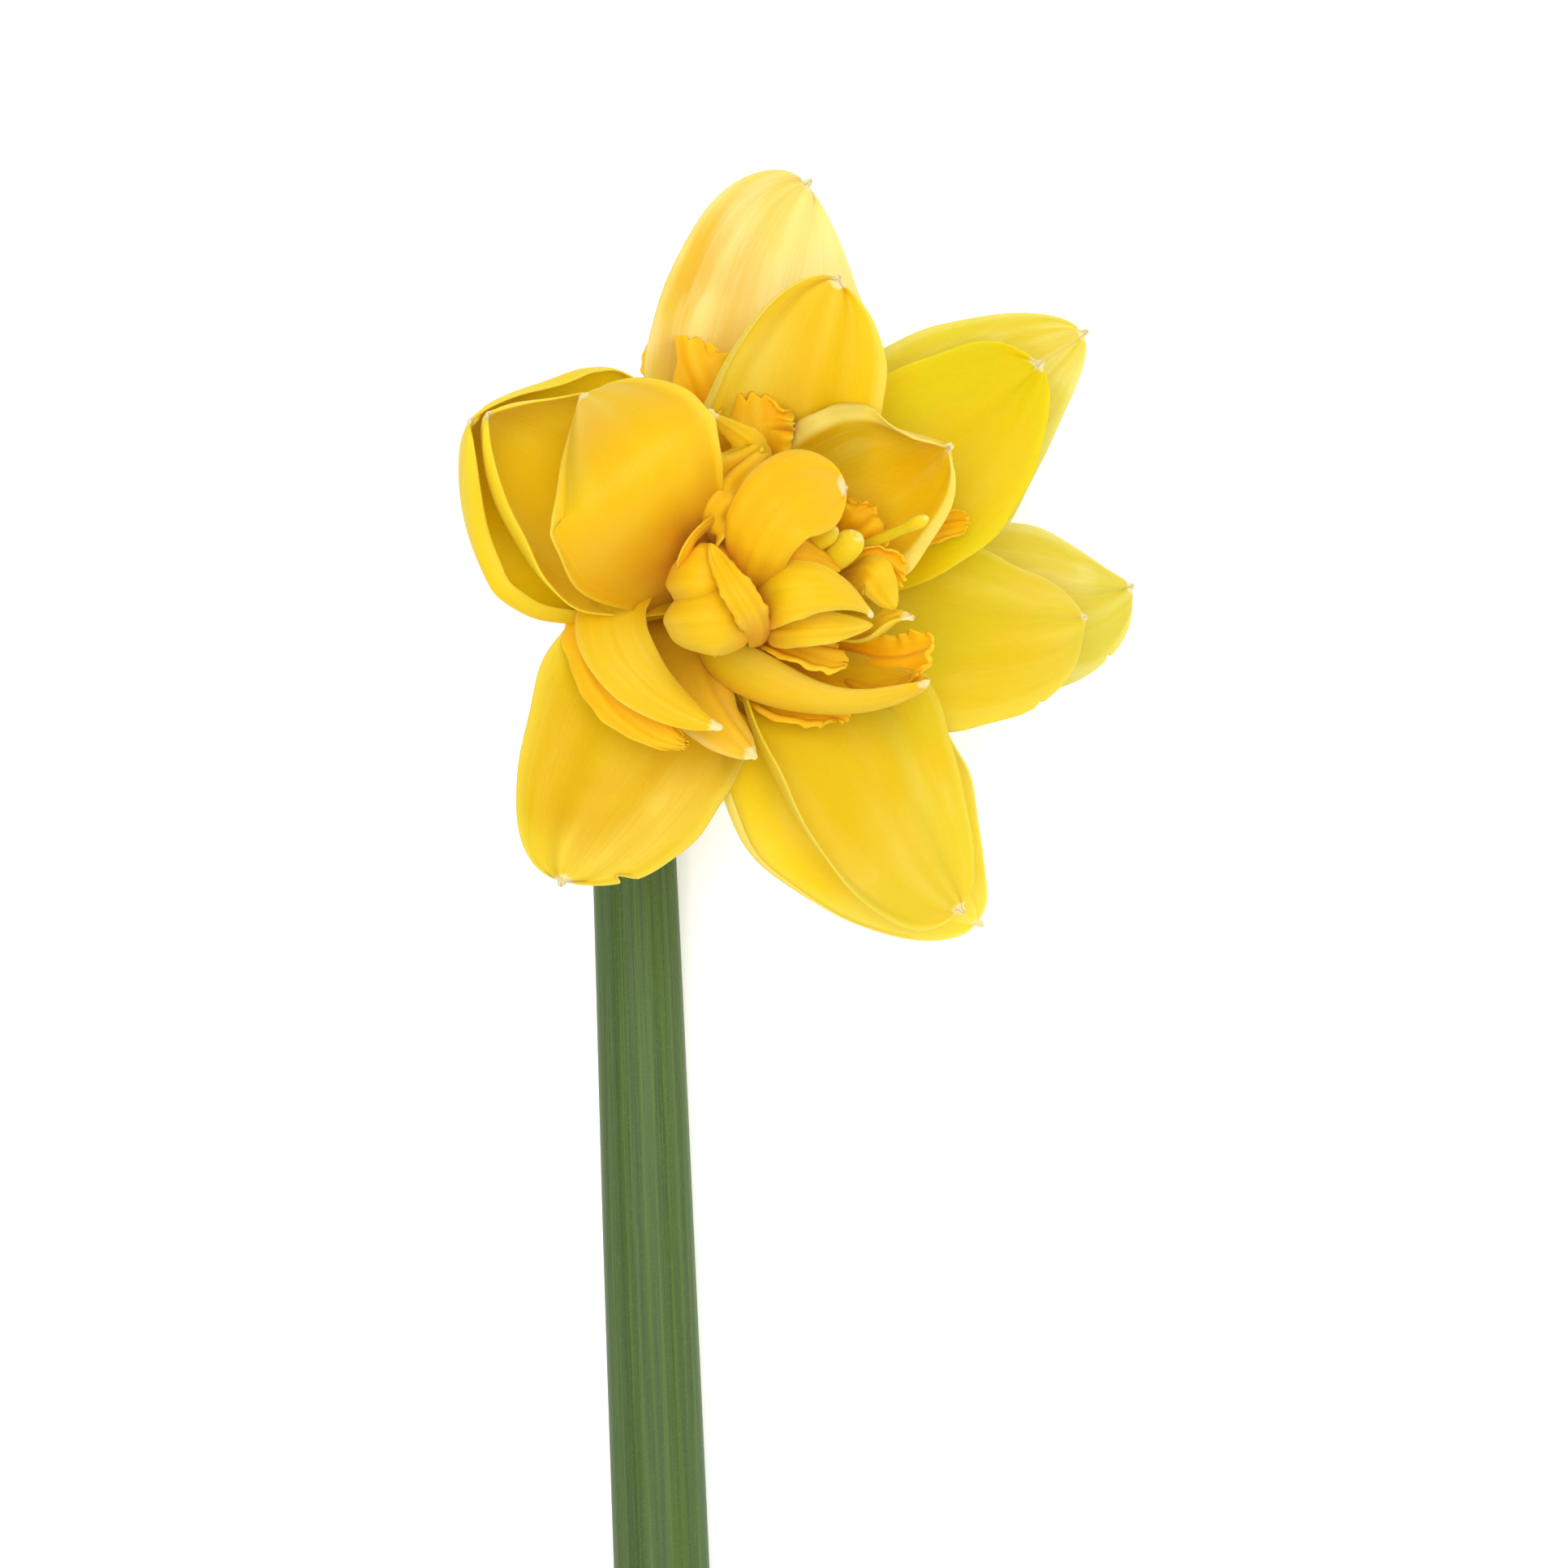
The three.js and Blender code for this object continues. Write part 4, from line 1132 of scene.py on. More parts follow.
@dataclass
class Petaloids(BladeGroup):
    """The large petaloids round the middle of the bloom."""

    title: str = "petaloids"
    first: int = 4
    rows: int = 96
    columns: int = 61
    slot: str = "petaloid"
    blades: tuple[Blade, ...] = (
        Blade(
            "petaloid_arched",
            through(
                (-3.5, -1, 5), (-7.6, 5.8, 33), (-12.2, 12.5, 38.5), (-17, 19.3, 27), (0.56, -0.83, 0.2)
            ),
            Tint.PETALOID, left=(3, 12, 12.5, 11, 7.5), right=(3, 6, 10, 11.2, 10),
            cup=(20, -15, -35, -45, -40), cup_right=(20, -10, -30, -25, -10), blunt=5, roll=(90, 60),
            roll_share=0.14,
        ),
        Blade(
            "petaloid_spoon",
            through((5, 4, 3), (7.5, 6.5, 13), (15, 10, 14), (22.6, 14.2, 24), (-0.6, -0.3, 0.8)),
            Tint.SPOON, left=(3, 9, 11.8, 12.6, 11), right=(3, 8, 11, 11.5, 9), cup=(50, 60, 65, 60, 50),
            blunt=5, roll=(-80, -60), frill=(0.6, 3.5), wave=(1.2, 2),
        ),
        Blade(
            "petaloid_boat",
            through((1, -3, 4), (-2.5, -10.4, 14), (8.5, -14.2, 17), (20, -11, 25), (0.65, 0.28, 0.7)),
            Tint.BOAT, left=(3, 8, 10.5, 11, 7), right=(3, 6.8, 7.4, 5.4, 3.4), cup=(40, 80, 100, 95, 60),
            cup_right=(40, 90, 120, 110, 80), blunt=4, pleat=0.04,
        ),
        Blade(
            "petaloid_hooked",
            handles((-3, -1, 8), (-18.5, 5, 22), (-17, -11.5, 24), (-2, -16.2, 25), (0.4, 0.9, 0)),
            Tint.PETALOID, left=(1.5, 3, 3.8, 4, 2.8), right=(1.5, 3.4, 4.4, 4.2, 3),
            cup=(0, -20, -25, -20), blunt=4, pleat=0.03, swell=0.35,
        ),
    )


@dataclass
class Heart(BladeGroup):
    """The small crowded petaloids of the heart."""

    title: str = "heart"
    first: int = 8
    rows: int = 64
    columns: int = 37
    slot: str = "petaloid"
    blades: tuple[Blade, ...] = (
        Blade(
            "heart_tongue",
            through((0.5, -2, 14), (0.8, 1, 31), (4, 7, 36), (11.3, 9.2, 31), (-0.5, -0.7, 0.1)),
            Tint.HEART, left=(2.5, 3.6, 4.8, 5.4, 6.2), right=(2, 3.2, 4.2, 5, 6.2),
            cup=(-20, -30, -35, -30, -20), blunt=11, point=0.3,
        ),
        Blade(
            "heart_hood",
            through((2, -3, 14), (3, -2, 31), (8.5, -1.5, 34), (14, -4.3, 28), (-1, 0, 0.1)),
            Tint.HEART_LIME, left=(2, 3.5, 3.8, 3.2, 1.6), right=(2, 3.5, 3.6, 2.8, 1.4),
            cup=(-20, -35, -45, -40, -30), blunt=4, pleat=0.05,
        ),
        small_blade(
            "heart_shell_lower",
            through((1, -3, 16), (-0.5, -4.8, 33), (-6, -5.3, 32.5), (-6.3, -5.3, 22), (0.9, 0, 0.4)),
            Tint.HEART, left=(2, 4.2, 5, 4.9, 4.6), right=(2, 4.2, 4.8, 4.8, 4.5),
            cup=(-20, -60, -75, -80), blunt=9, pleat=0.08, swell=0.3,
        ),
        small_blade(
            "heart_shell_upper",
            through((-1, 0.5, 16), (-2, -0.2, 32.5), (-6.5, -0.4, 32.5), (-6.9, -0.4, 23), (0.9, 0, 0.4)),
            Tint.HEART, left=(2, 3.8, 4.4, 4.3, 4), right=(2, 3.8, 4.3, 4.3, 4), cup=(-20, -55, -70, -75),
            blunt=9, pleat=0.08, swell=0.3,
        ),
        small_blade(
            "heart_scale",
            through((4, 1, 14), (4, 2, 29), (6.5, 2.5, 31), (10.5, 0.5, 28), (-1, 0, 0.1)),
            Tint.HEART, left=(1, 2.2, 2.8, 2.4, 1.5), cup=(-20, -40, -40, -30),
        ),
        small_blade(
            "heart_lip",
            through((3, -5, 12), (4, -5.6, 25), (8.5, -5.6, 29.5), (14, -5.2, 26.5), (-1, 0, 0.3)),
            Tint.HEART_LIME, left=(1, 2, 2.2, 2, 1), right=(1, 2, 2, 1.8, 1), cup=(-20, -30, -20),
        ),
        small_blade(
            "heart_small_tongue",
            through((8.5, -0.5, 12), (12.5, 0.5, 24), (14.3, -0.2, 27), (16.5, -3.5, 25), (-0.7, 0.5, 0.5)),
            Tint.HEART_LIME, left=(1, 2, 2.4, 2.4, 2.2), cup=(-20, -35, -30),
        ),
        Blade(
            "heart_small_boat",
            through((6, -3, 8), (13, -6, 20), (16, -5, 24), (18.5, -4.5, 25), (-0.2, 0.3, 0.8)),
            Tint.HEART_LIME, left=(1, 2, 2.4, 2, 1), cup=(40, 60, 50),
        ),
        small_blade(
            "heart_strap",
            through((2, -7, 20), (1.2, -4.3, 34.5), (-1, -0.8, 36), (-3.2, 3.2, 34.5), (0.45, -0.8, 0.2)),
            Tint.HEART, left=(1.2, 1.7, 1.8, 1.5, 1), cup=(-20, -15, -30), jag=0.08, wave=(0.5, 3),
        ),
        small_blade(
            "heart_folded_point",
            through((-3, 2, 16), (-5.5, 1.5, 30), (-4.5, 4, 32), (-2, 6, 28), (0.5, -0.3, 0.8)),
            Tint.HEART, left=(1.2, 1.8, 1.8, 1.5, 1), cup=(-20, -40, -40),
        ),
        Blade(
            "petaloid_sliver",
            through((1, 4, 6), (2, 11.5, 22), (0.5, 14.5, 27), (-3.6, 17.6, 28.5), (0.5, -0.6, 0.2)),
            Tint.PETALOID, left=(1, 1.8, 1.8, 1.5, 0.8), cup=(-10, -20, -10), wave=(0.5, 2), jag=0.06,
        ),
        Blade(
            "petaloid_underlobe",
            through((-3, -3, 5), (-5, -10, 15), (-2, -15.5, 19), (1.6, -19.4, 19.5), (0, 0.2, 0.9)),
            Tint.FOLDED, left=(2, 3.4, 4, 3.2, 2.6), right=(5, 9.5, 6, 3.4, 2.6), cup=(0, -20, -35),
        ),
    )


@dataclass
class Corona(BladeGroup):
    """The orange, frilled strips that the split corona left among the petaloids."""

    title: str = "corona"
    first: int = 23
    rows: int = 80
    columns: int = 49
    slot: str = "corona"
    blades: tuple[Blade, ...] = (
        small_blade(
            "corona_crumple",
            through((-2, 3, 12), (-4.3, 6, 28), (-2.5, 9.5, 30), (1.8, 13.2, 27), (-0.4, -0.6, 0.2)),
            Tint.PETALOID, left=(1.8, 3.2, 3.6, 3.4, 3), cup=(0, 20, 0), jag=0.09, wave=(1.5, 4),
            frill=(0.7, 7), pleat=0.4, fringe=0.5, open_end=0.6, bow=0.6,
        ),
        frill_strip(
            "corona_frill_front",
            through((2, -4, 9), (4, -6.7, 17), (7.8, -8.1, 20.5), (11, -8.6, 20.5), (-0.2, 0.3, 0.8)),
            left=(1.4, 2.4, 3, 3.2, 3.2), right=(1.4, 2.2, 2.6, 2.6, 2.6), cup=(0, 20, 10),
        ),
        frill_strip(
            "corona_frill_right",
            through((8.5, -1.5, 9), (12, 0.5, 20), (14.5, 1, 22), (17, -0.5, 22), (-0.4, -0.3, 0.8)),
            left=(1, 2, 2.6, 2.8, 2.8), cup=(0, 20, 10),
        ),
        frill_strip(
            "corona_frill_right_upper",
            through((7.5, 3, 8), (11.5, 4.5, 18), (13.5, 6, 20), (14.5, 7, 20), (-0.4, -0.3, 0.8)),
            left=(1, 2.4, 3.2, 3.4, 3.4), cup=(0, 20, 10),
        ),
        frill_strip(
            "corona_frill_lower_right",
            through((6, -4, 5), (13, -9, 12), (17.5, -9.5, 16), (20, -8.5, 20), (-0.3, 0.2, 0.9)),
            left=(1.5, 2.8, 3.5, 3.6, 3.6), cup=(0, 30, 20),
        ),
        frill_strip(
            "corona_frill_lower_left",
            through((-2, -5, 3), (-4, -12, 8), (-1.5, -15, 11), (0, -16.8, 11), (0, 0.2, 0.9)),
            left=(1.4, 2.2, 2.6, 2.6, 2.4), cup=(0, 10, 0), blunt=10,
        ),
        frill_strip(
            "corona_frill_top",
            through((2, 5, 6), (1, 13.5, 17), (0.8, 16.5, 19), (0.8, 19.5, 19.5), (0, -0.3, 0.8)),
            left=(2, 4, 4.8, 5, 5), cup=(0, 25, 10), blunt=14, wave=(1, 3), frill=(0.8, 6), fringe=0.4,
            bow=1.6,
        ),
        frill_strip(
            "corona_frill_left",
            handles((-4, -2, 5), (-20, 5, 19), (-19.5, -13.5, 21), (-6, -18, 22), (0.4, 0.9, 0)),
            left=(1.5, 3, 4, 4, 3), right=(1.5, 3, 3.4, 3, 2.4), cup=(0, -10, -20), blunt=8, jag=0.07,
            pleat=0.1, frill=(0.2, 8), fringe=0.25, open_end=0.25, bow=0.6,
        ),
        frill_strip(
            "corona_frill_top_left",
            through((-1, 5, 5), (-3.5, 17.5, 12), (-5.5, 22.5, 13), (-6.3, 26.3, 13), (0, -0.3, 0.8)),
            left=(1.5, 3, 4, 5, 5.5), right=(1.5, 3.5, 4.6, 5, 5), cup=(0, 10, 0), blunt=8, fringe=0.35,
            bow=1.5,
        ),
        frill_strip(
            "corona_frill_bottom",
            through((2, -6, 3), (3, -12.5, 10.5), (7, -13.9, 11.5), (11.3, -14.9, 11.5), (0, 0.2, 0.9)),
            left=(1.8, 3, 3.6, 3, 2.4), right=(1.8, 3, 3.2, 2.6, 2.4), cup=(0, 10, 0),
        ),
        frill_strip(
            "corona_frill_far_right",
            through((6, 2, 3), (14.5, 3.5, 9), (20, 5.5, 10), (24.5, 6.5, 11), (-0.3, -0.2, 0.9)),
            left=(0.8, 1.3, 1.6, 1.6, 1.6), cup=(0, 10, 0), frill=(0.2, 5), fringe=0.25, bow=0.6,
        ),
    )


@dataclass
class InnerWhorl(BladeGroup):
    """The inner whorl of five tepals."""

    title: str = "inner whorl"
    first: int = 34
    rows: int = 110
    columns: int = 65
    slot: str = "tepal"
    blades: tuple[Blade, ...] = (
        Blade(
            "tepal_inner_top",
            sprung(85, INNER_RING, 12, 12, (5.5, 25, 20), (10.6, 32.6, 20)),
            Tint.GOLD, left=(3, 11, 13.5, 10.8, 8), right=(3, 8.6, 9.1, 9.4, 8.6), cup=(60, 40, 30, 35),
            swell=0.4, pleat=0.18, roll=(130, 0), roll_share=0.1,
        ),
        Blade(
            "tepal_inner_upper_right",
            sprung(30, INNER_RING, 12, 25, (24.5, 17, 8), (33.2, 24.6, 2)),
            Tint.LIME, left=(3, 10, 12.3, 10.2, 9.5), right=(3, 9, 11.5, 10.3, 6), cup=(60, 40, 25, 20),
            blunt=5, swell=0.5, pleat=0.2,
        ),
        Blade(
            "tepal_inner_right",
            sprung(-12, INNER_RING, 12, 30, (28, -7, -1), (38.5, -3.4, -9)),
            Tint.MELLOW, left=(3, 8, 9.8, 8.2, 7.5), right=(3, 8.4, 12.8, 11.2, 10), cup=(60, 35, 20, 15),
            blunt=5, swell=0.5, pleat=0.2, nick=(0.8, 1, 0.05, 0.012),
        ),
        Blade(
            "tepal_inner_lower_right",
            sprung(-62, INNER_RING, 12, 25, (14.5, -27, 8), (24.5, -36.4, 1)),
            Tint.MELLOW, left=(3, 9.5, 11, 9.3, 7), right=(3, 12.5, 14.3, 13, 11.5), cup=(60, 40, 25, 30),
            blunt=5, swell=0.4, pleat=0.2, roll=(0, 60), roll_share=0.36,
        ),
        Blade(
            "tepal_inner_left",
            sprung(155, INNER_RING, 12, 25, (-29, 13, 9), (-26.8, 17.2, 30)),
            Tint.HOLLOW, left=(3, 11, 18, 16, 11), right=(3, 11, 13, 12, 9), cup=(60, 70, 80, 80),
            cup_right=(50, 55, 60), blunt=5,
        ),
    )


@dataclass
class OuterWhorl(BladeGroup):
    """The outer whorl of six tepals."""

    title: str = "outer whorl"
    first: int = 39
    rows: int = 110
    columns: int = 65
    slot: str = "tepal"
    blades: tuple[Blade, ...] = (
        Blade(
            "tepal_outer_top",
            sprung(105, OUTER_RING, 10, 20, (-5, 32, 8), (7.6, 44.5, 4)),
            Tint.PALE, left=(3, 10, 13, 10.5, 9.5), right=(3, 9.5, 13, 14.5, 13), cup=(60, 40, 22, 20),
            blunt=7, swell=0.4, pleat=0.2,
        ),
        Blade(
            "tepal_outer_upper_right",
            sprung(35, OUTER_RING, 10, 30, (25, 20.5, -2), (38.7, 28.7, -8)),
            Tint.LEAN, left=(3, 10, 13.5, 11.5, 8), right=(3, 9, 13, 11, 7), cup=(60, 35, 20, 15),
            blunt=4, swell=0.4, pleat=0.2,
        ),
        Blade(
            "tepal_outer_right",
            sprung(-5, OUTER_RING, 10, 35, (34, -6, -14), (44.5, 0.6, -21.5)),
            Tint.LEAN, left=(3, 8, 10.5, 10, 5), right=(3, 8, 10, 9.8, 9), cup=(60, 35, 20, 20), blunt=5,
            swell=0.4, pleat=0.2, nick=(0.86, 1, 0.1, 0.01),
        ),
        Blade(
            "tepal_outer_lower_right",
            sprung(-60, OUTER_RING, 10, 30, (11.5, -29.5, 0), (26.9, -38, -6)),
            Tint.PAINTED_LIT_GOLD, left=(3, 9, 12.3, 12.6, 9), right=(3, 13.5, 17, 12.7, 8), cup=(60, 40, 25, 40),
            cup_right=(60, 30, 10, 15), blunt=5, roll=(40, 100), roll_share=0.12, wave=(0.5, 3),
        ),
        Blade(
            "tepal_outer_lower_left",
            sprung(-125, OUTER_RING, 10, 20, (-16, -22, 15), (-19.8, -33.3, 12)),
            Tint.DEEP, left=(3, 8, 10.8, 12, 12), right=(3, 14, 15.6, 13, 11), cup=(60, 30, 15, 20),
            blunt=4.5, swell=0.4, pleat=0.2, nick=(0.9, -1, 0.3, 0.02),
        ),
        Blade(
            "tepal_outer_left",
            sprung(155, OUTER_RING, 10, 30, (-35, 13.5, 5), (-28.6, 16.6, 29.5)),
            Tint.HOLLOW, left=(4, 14, 19.5, 20.5, 15), right=(4, 14, 18.5, 18, 14), cup=(60, 60, 70, 80),
            cup_right=(50, 55, 60, 60), blunt=5, roll=(80, 40), roll_share=0.16,
        ),
    )


@dataclass
class Sheath(BladeGroup):
    """The papery sheath that the bud came out of, still wrapped round one side of the neck."""

    title: str = "sheath"
    first: int = 45
    rows: int = 70
    columns: int = 41
    slot: str = "sheath"
    blades: tuple[Blade, ...] = (
        Blade(
            "papery_sheath",
            through((-19.4, -15, -35.5), (-20, -4, -33), (-19.5, 9, -31), (-15, 21, -30), (1, 0, 0.1)),
            Tint.SHEATH, left=(4.5, 6.5, 6, 4.5, 2), right=(2.5, 3.5, 3.5, 3, 2), cup=(50, 45, 60),
            blunt=3, point=2, pleat=0.25, frill=(0.3, 3), thickness=0.25, callused=False,
        ),
    )


# ------------------------------------------------------------------------------------------
# Round pieces: stem, ovary, tube, core and buds
# ------------------------------------------------------------------------------------------


@dataclass(frozen=True)
class Line:
    """A smooth centre line through points, which is read at even lengths.

    Attributes:
        points: The points, root first.
        samples: How many close points stand for the line.
    """

    points: np.ndarray
    samples: int = 3000

    def dense(self) -> np.ndarray:
        """Centripetal Catmull-Rom: cubic pieces whose slopes allow for uneven spacing.

        Returns:
            Close points of the line, at uneven lengths.
        """
        if len(self.points) == 2:
            share = np.linspace(0, 1, self.samples)[:, None]
            return self.points[0] * (1 - share) + self.points[1] * share
        before = 2 * self.points[0] - self.points[1]
        after = 2 * self.points[-1] - self.points[-2]
        knots = np.vstack([before, self.points, after])
        share = np.linspace(0, 1, self.samples // (len(self.points) - 1))[:, None]
        parts = []
        for a, b, c, d in zip(knots[:-3], knots[1:-2], knots[2:-1], knots[3:], strict=True):
            step0, step1, step2 = (np.linalg.norm(q - p) ** 0.5 for p, q in ((a, b), (b, c), (c, d)))
            slope0 = ((b - a) / step0 - (c - a) / (step0 + step1) + (c - b) / step1) * step1
            slope1 = ((c - b) / step1 - (d - b) / (step1 + step2) + (d - c) / step2) * step1
            cubic = 2 * b - 2 * c + slope0 + slope1
            square = -3 * b + 3 * c - 2 * slope0 - slope1
            parts.append(b + slope0 * share + square * share**2 + cubic * share**3)
        return np.vstack(parts)

    def even(self, count: int) -> np.ndarray:
        """Reads the line at even lengths, by straight steps between its close points.

        Args:
            count: How many points are wanted.

        Returns:
            The points.
        """
        dense = self.dense()
        reached = np.concatenate([[0], np.cumsum(np.linalg.norm(np.diff(dense, axis=0), axis=1))])
        wanted = np.linspace(0, reached[-1], count)
        return np.stack([np.interp(wanted, reached, dense[:, axis]) for axis in range(3)], axis=-1)


@dataclass
class RoundPiece:
    """A closed round solid swept along a line: a ring of points at each step.

    Attributes:
        name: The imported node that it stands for.
        tint: Its finish.
        slot: The record's material slot.
        line: Its centre line.
        radius: Its radius, from how far along it is and the angle round it.
        steps: Rings along it.
        sides: Points round it.
        dish: How deep its ends are hollowed.
        mark: How marked its wall is, as a callus is, from how far along it is.
    """

    name: str
    tint: Tint
    slot: str
    line: Line
    radius: Callable[[np.ndarray, np.ndarray], np.ndarray]
    steps: int = 120
    sides: int = 64
    dish: float = 0.0
    mark: Callable[[np.ndarray], np.ndarray] = np.zeros_like

    def rings(self) -> tuple[np.ndarray, np.ndarray, np.ndarray, np.ndarray]:
        """The frames of the rings, carried along the line without twist.

        Returns:
            Centres, tangents, normals and binormals, each with one row for a ring.
        """
        centres = self.line.even(self.steps)
        tangents = unit(np.gradient(centres, axis=0))
        least = np.eye(3)[np.argmin(np.abs(tangents[0]))]
        normal = np.cross(tangents[0], unit(np.cross(tangents[0], least)))
        normals = np.empty_like(centres)
        for index, tangent in enumerate(tangents):
            normal = unit(normal - (normal @ tangent) * tangent)
            normals[index] = normal
        return centres, tangents, normals, np.cross(tangents, normals)

    def build(self) -> None:
        """Makes the piece.

        A point is its centre plus radius times (cosine of the angle times the normal plus sine
        times the binormal). Each end closes by three smaller rings, sunk by the dish, and a pole.
        """
        centres, tangents, normals, binormals = self.rings()
        t = np.linspace(0, 1, self.steps)
        angle = np.linspace(0, 2 * np.pi, self.sides + 1)
        radius = self.radius(t[:, None], angle[None, :])
        round_way = (
            normals[:, None, :] * np.cos(angle)[None, :, None]
            + binormals[:, None, :] * np.sin(angle)[None, :, None]
        )
        wall = centres[:, None, :] + round_way * radius[..., None]
        head = self.cap(wall[0], centres[0], tangents[0])
        foot = self.cap(wall[-1], centres[-1], -tangents[-1])[::-1]
        points = np.concatenate([head, wall, foot])
        along = np.concatenate([np.zeros(len(head)), t, np.ones(len(foot))])
        turned = 0.75 - 0.5 * np.abs(angle / np.pi - 1)
        uv = np.stack(np.broadcast_arrays(turned[None, :], along[:, None]), axis=-1)
        marks = np.concatenate([np.ones(len(head)), self.mark(t), np.ones(len(foot))])
        callus = np.repeat(marks[:, None], self.sides + 1, axis=1)
        quads = closed_quads(len(points), self.sides + 1)
        skin = Skin(points.reshape(-1, 3), quads, uv.reshape(-1, 2), callus.ravel())
        skin.piece(self.name, self.tint, self.slot)

    def cap(self, ring: np.ndarray, centre: np.ndarray, inwards: np.ndarray) -> np.ndarray:
        """Closes an end with rings: each is the last ring drawn in by a share and sunk.

        Args:
            ring: The last ring of the wall.
            centre: Its centre.
            inwards: The unit direction into the piece.

        Returns:
            Rings from the pole out to the wall.
        """
        shares = np.array([0.0, 0.35, 0.7, 0.94])
        depths = self.dish * np.array([1.0, 0.9, 0.35, 0.0])
        drawn = centre + (ring[None, :, :] - centre) * shares[:, None, None]
        return drawn + inwards * depths[:, None, None]


def closed_quads(rows: int, columns: int) -> np.ndarray:
    """The faces of a round grid, with its seam closed and each pole row joined to one point.

    Args:
        rows: Rows of points, of which the first and the last are poles.
        columns: Points in a row, of which the last lies on the first.

    Returns:
        An array of four indices a face. Those at the poles name a point twice.
    """
    index = np.arange(rows * columns).reshape(rows, columns)
    index[:, -1] = index[:, 0]
    index[0, :] = index[0, 0]
    index[-1, :] = index[-1, 0]
    return index.ravel()[grid_quads(rows, columns, 0, turned=False)]


def pale_end(t: np.ndarray) -> np.ndarray:
    """A faint callus that rises over the last few hundredths of a piece."""
    return 0.45 * between(t, 0.95, 0.99)


@dataclass
class Scape:
    """The flower's stalk and neck: the stem, the ovary and the floral tube.

    Attributes:
        tube_length: Length of the floral tube.
        neck_radius: Its radius at the ovary.
        throat_radius: Its widest radius, under the throat.
        ovary_length: Length of the ovary.
        ovary_radius: Its widest radius.
        ovary_end: Its radius at either end.
        stem_neck: Radius of the stem under the ovary.
        stem_foot: Radius of the stem at its cut foot.
        keel: Height of the stem's two keels, as a share of its radius.
        rib: Height of its eight ribs, as a share of its radius.
        stem_course: Places that the stem passes, from its knee to its foot.
    """

    tube_length: float = 18.0
    neck_radius: float = 4.3
    throat_radius: float = 7.8
    ovary_length: float = 12.0
    ovary_radius: float = 5.4
    ovary_end: float = 3.6
    stem_neck: float = 4.6
    stem_foot: float = 6.1
    keel: float = 0.05
    rib: float = 0.015
    stem_course: tuple[Point, ...] = (
        (-13.8, -6, -37.2),
        (-13.6, -15, -37.7),
        (-12.8, -33, -36.9),
        (-11.2, -75, -35.4),
        (-9.6, -115, -34.6),
        (-6.8, -190, -34.1),
    )

    def ovary_middle(self) -> np.ndarray:
        """The middle of the ovary's axis."""
        return BLOOM_AXIS * -(self.tube_length + GAP + self.ovary_length / 2)

    def build(self) -> None:
        """Makes the three pieces."""
        self.build_stem()
        self.build_ovary()
        self.build_tube()

    def stem_radius(self, t: np.ndarray, angle: np.ndarray) -> np.ndarray:
        """Radius that swells as a sine down the stem, with two keels and eight ribs."""
        radius = self.stem_neck + (self.stem_foot - self.stem_neck) * np.sin(np.pi / 2 * t) ** 0.8
        return radius * (1 + self.keel * np.cos(2 * angle) + self.rib * np.cos(8 * angle))

    def ovary_bulge(self, t: np.ndarray, angle: np.ndarray) -> np.ndarray:
        """Radius of the ovary: a sine bulge between the two ends, with three shallow lobes.

        Args:
            t: How far along, from 0 to 1.
            angle: The angle round it.

        Returns:
            The radius at each place.
        """
        bulge = np.sin(np.pi * np.clip(t, 0, 1)) ** 0.7
        lobes = 1 + 0.035 * np.cos(3 * angle) * bulge
        return (self.ovary_end + (self.ovary_radius - self.ovary_end) * bulge) * lobes

    def tube_flare(self, t: np.ndarray, angle: np.ndarray) -> np.ndarray:
        """Radius of the tube: straight steps from neck to throat, with six shallow furrows.

        Args:
            t: How far along, from 0 to 1.
            angle: The angle round it.

        Returns:
            The radius at each place.
        """
        neck, throat = self.neck_radius, self.throat_radius
        heights = [0.0, 0.35, 0.7, 0.917, 0.985, 1.0]
        radii = [neck, neck + 0.2, neck + 1.3, throat, throat, throat - 0.8]
        return np.interp(t, heights, radii) * (1 - 0.025 * np.cos(6 * angle) * np.sin(np.pi * t))

    def build_stem(self) -> None:
        """The stem, from under the ovary round its knee and down to the cut foot."""
        top = -self.tube_length - self.ovary_length - 2 * GAP
        under = BLOOM_AXIS * (top - 3.5) + [0, -0.8, 0]
        line = Line(np.array([BLOOM_AXIS * top, under, *self.stem_course]))
        RoundPiece(
            "stem", Tint.STEM, "stem", line, self.stem_radius, steps=260, sides=96, dish=0.5
        ).build()

    def build_ovary(self) -> None:
        """The ovary, a three-lobed capsule."""
        foot = -self.tube_length - self.ovary_length - GAP
        line = Line(np.array([BLOOM_AXIS * foot, BLOOM_AXIS * (foot + self.ovary_length)]))
        RoundPiece("ovary", Tint.OVARY, "ovary", line, self.ovary_bulge, steps=70).build()

    def build_tube(self) -> None:
        """The floral tube, which flares from the ovary to the throat."""
        line = Line(np.array([BLOOM_AXIS * -self.tube_length, BLOOM_AXIS * 0.0]))
        RoundPiece("floral_tube", Tint.TUBE, "floral_tube", line, self.tube_flare, steps=90).build()


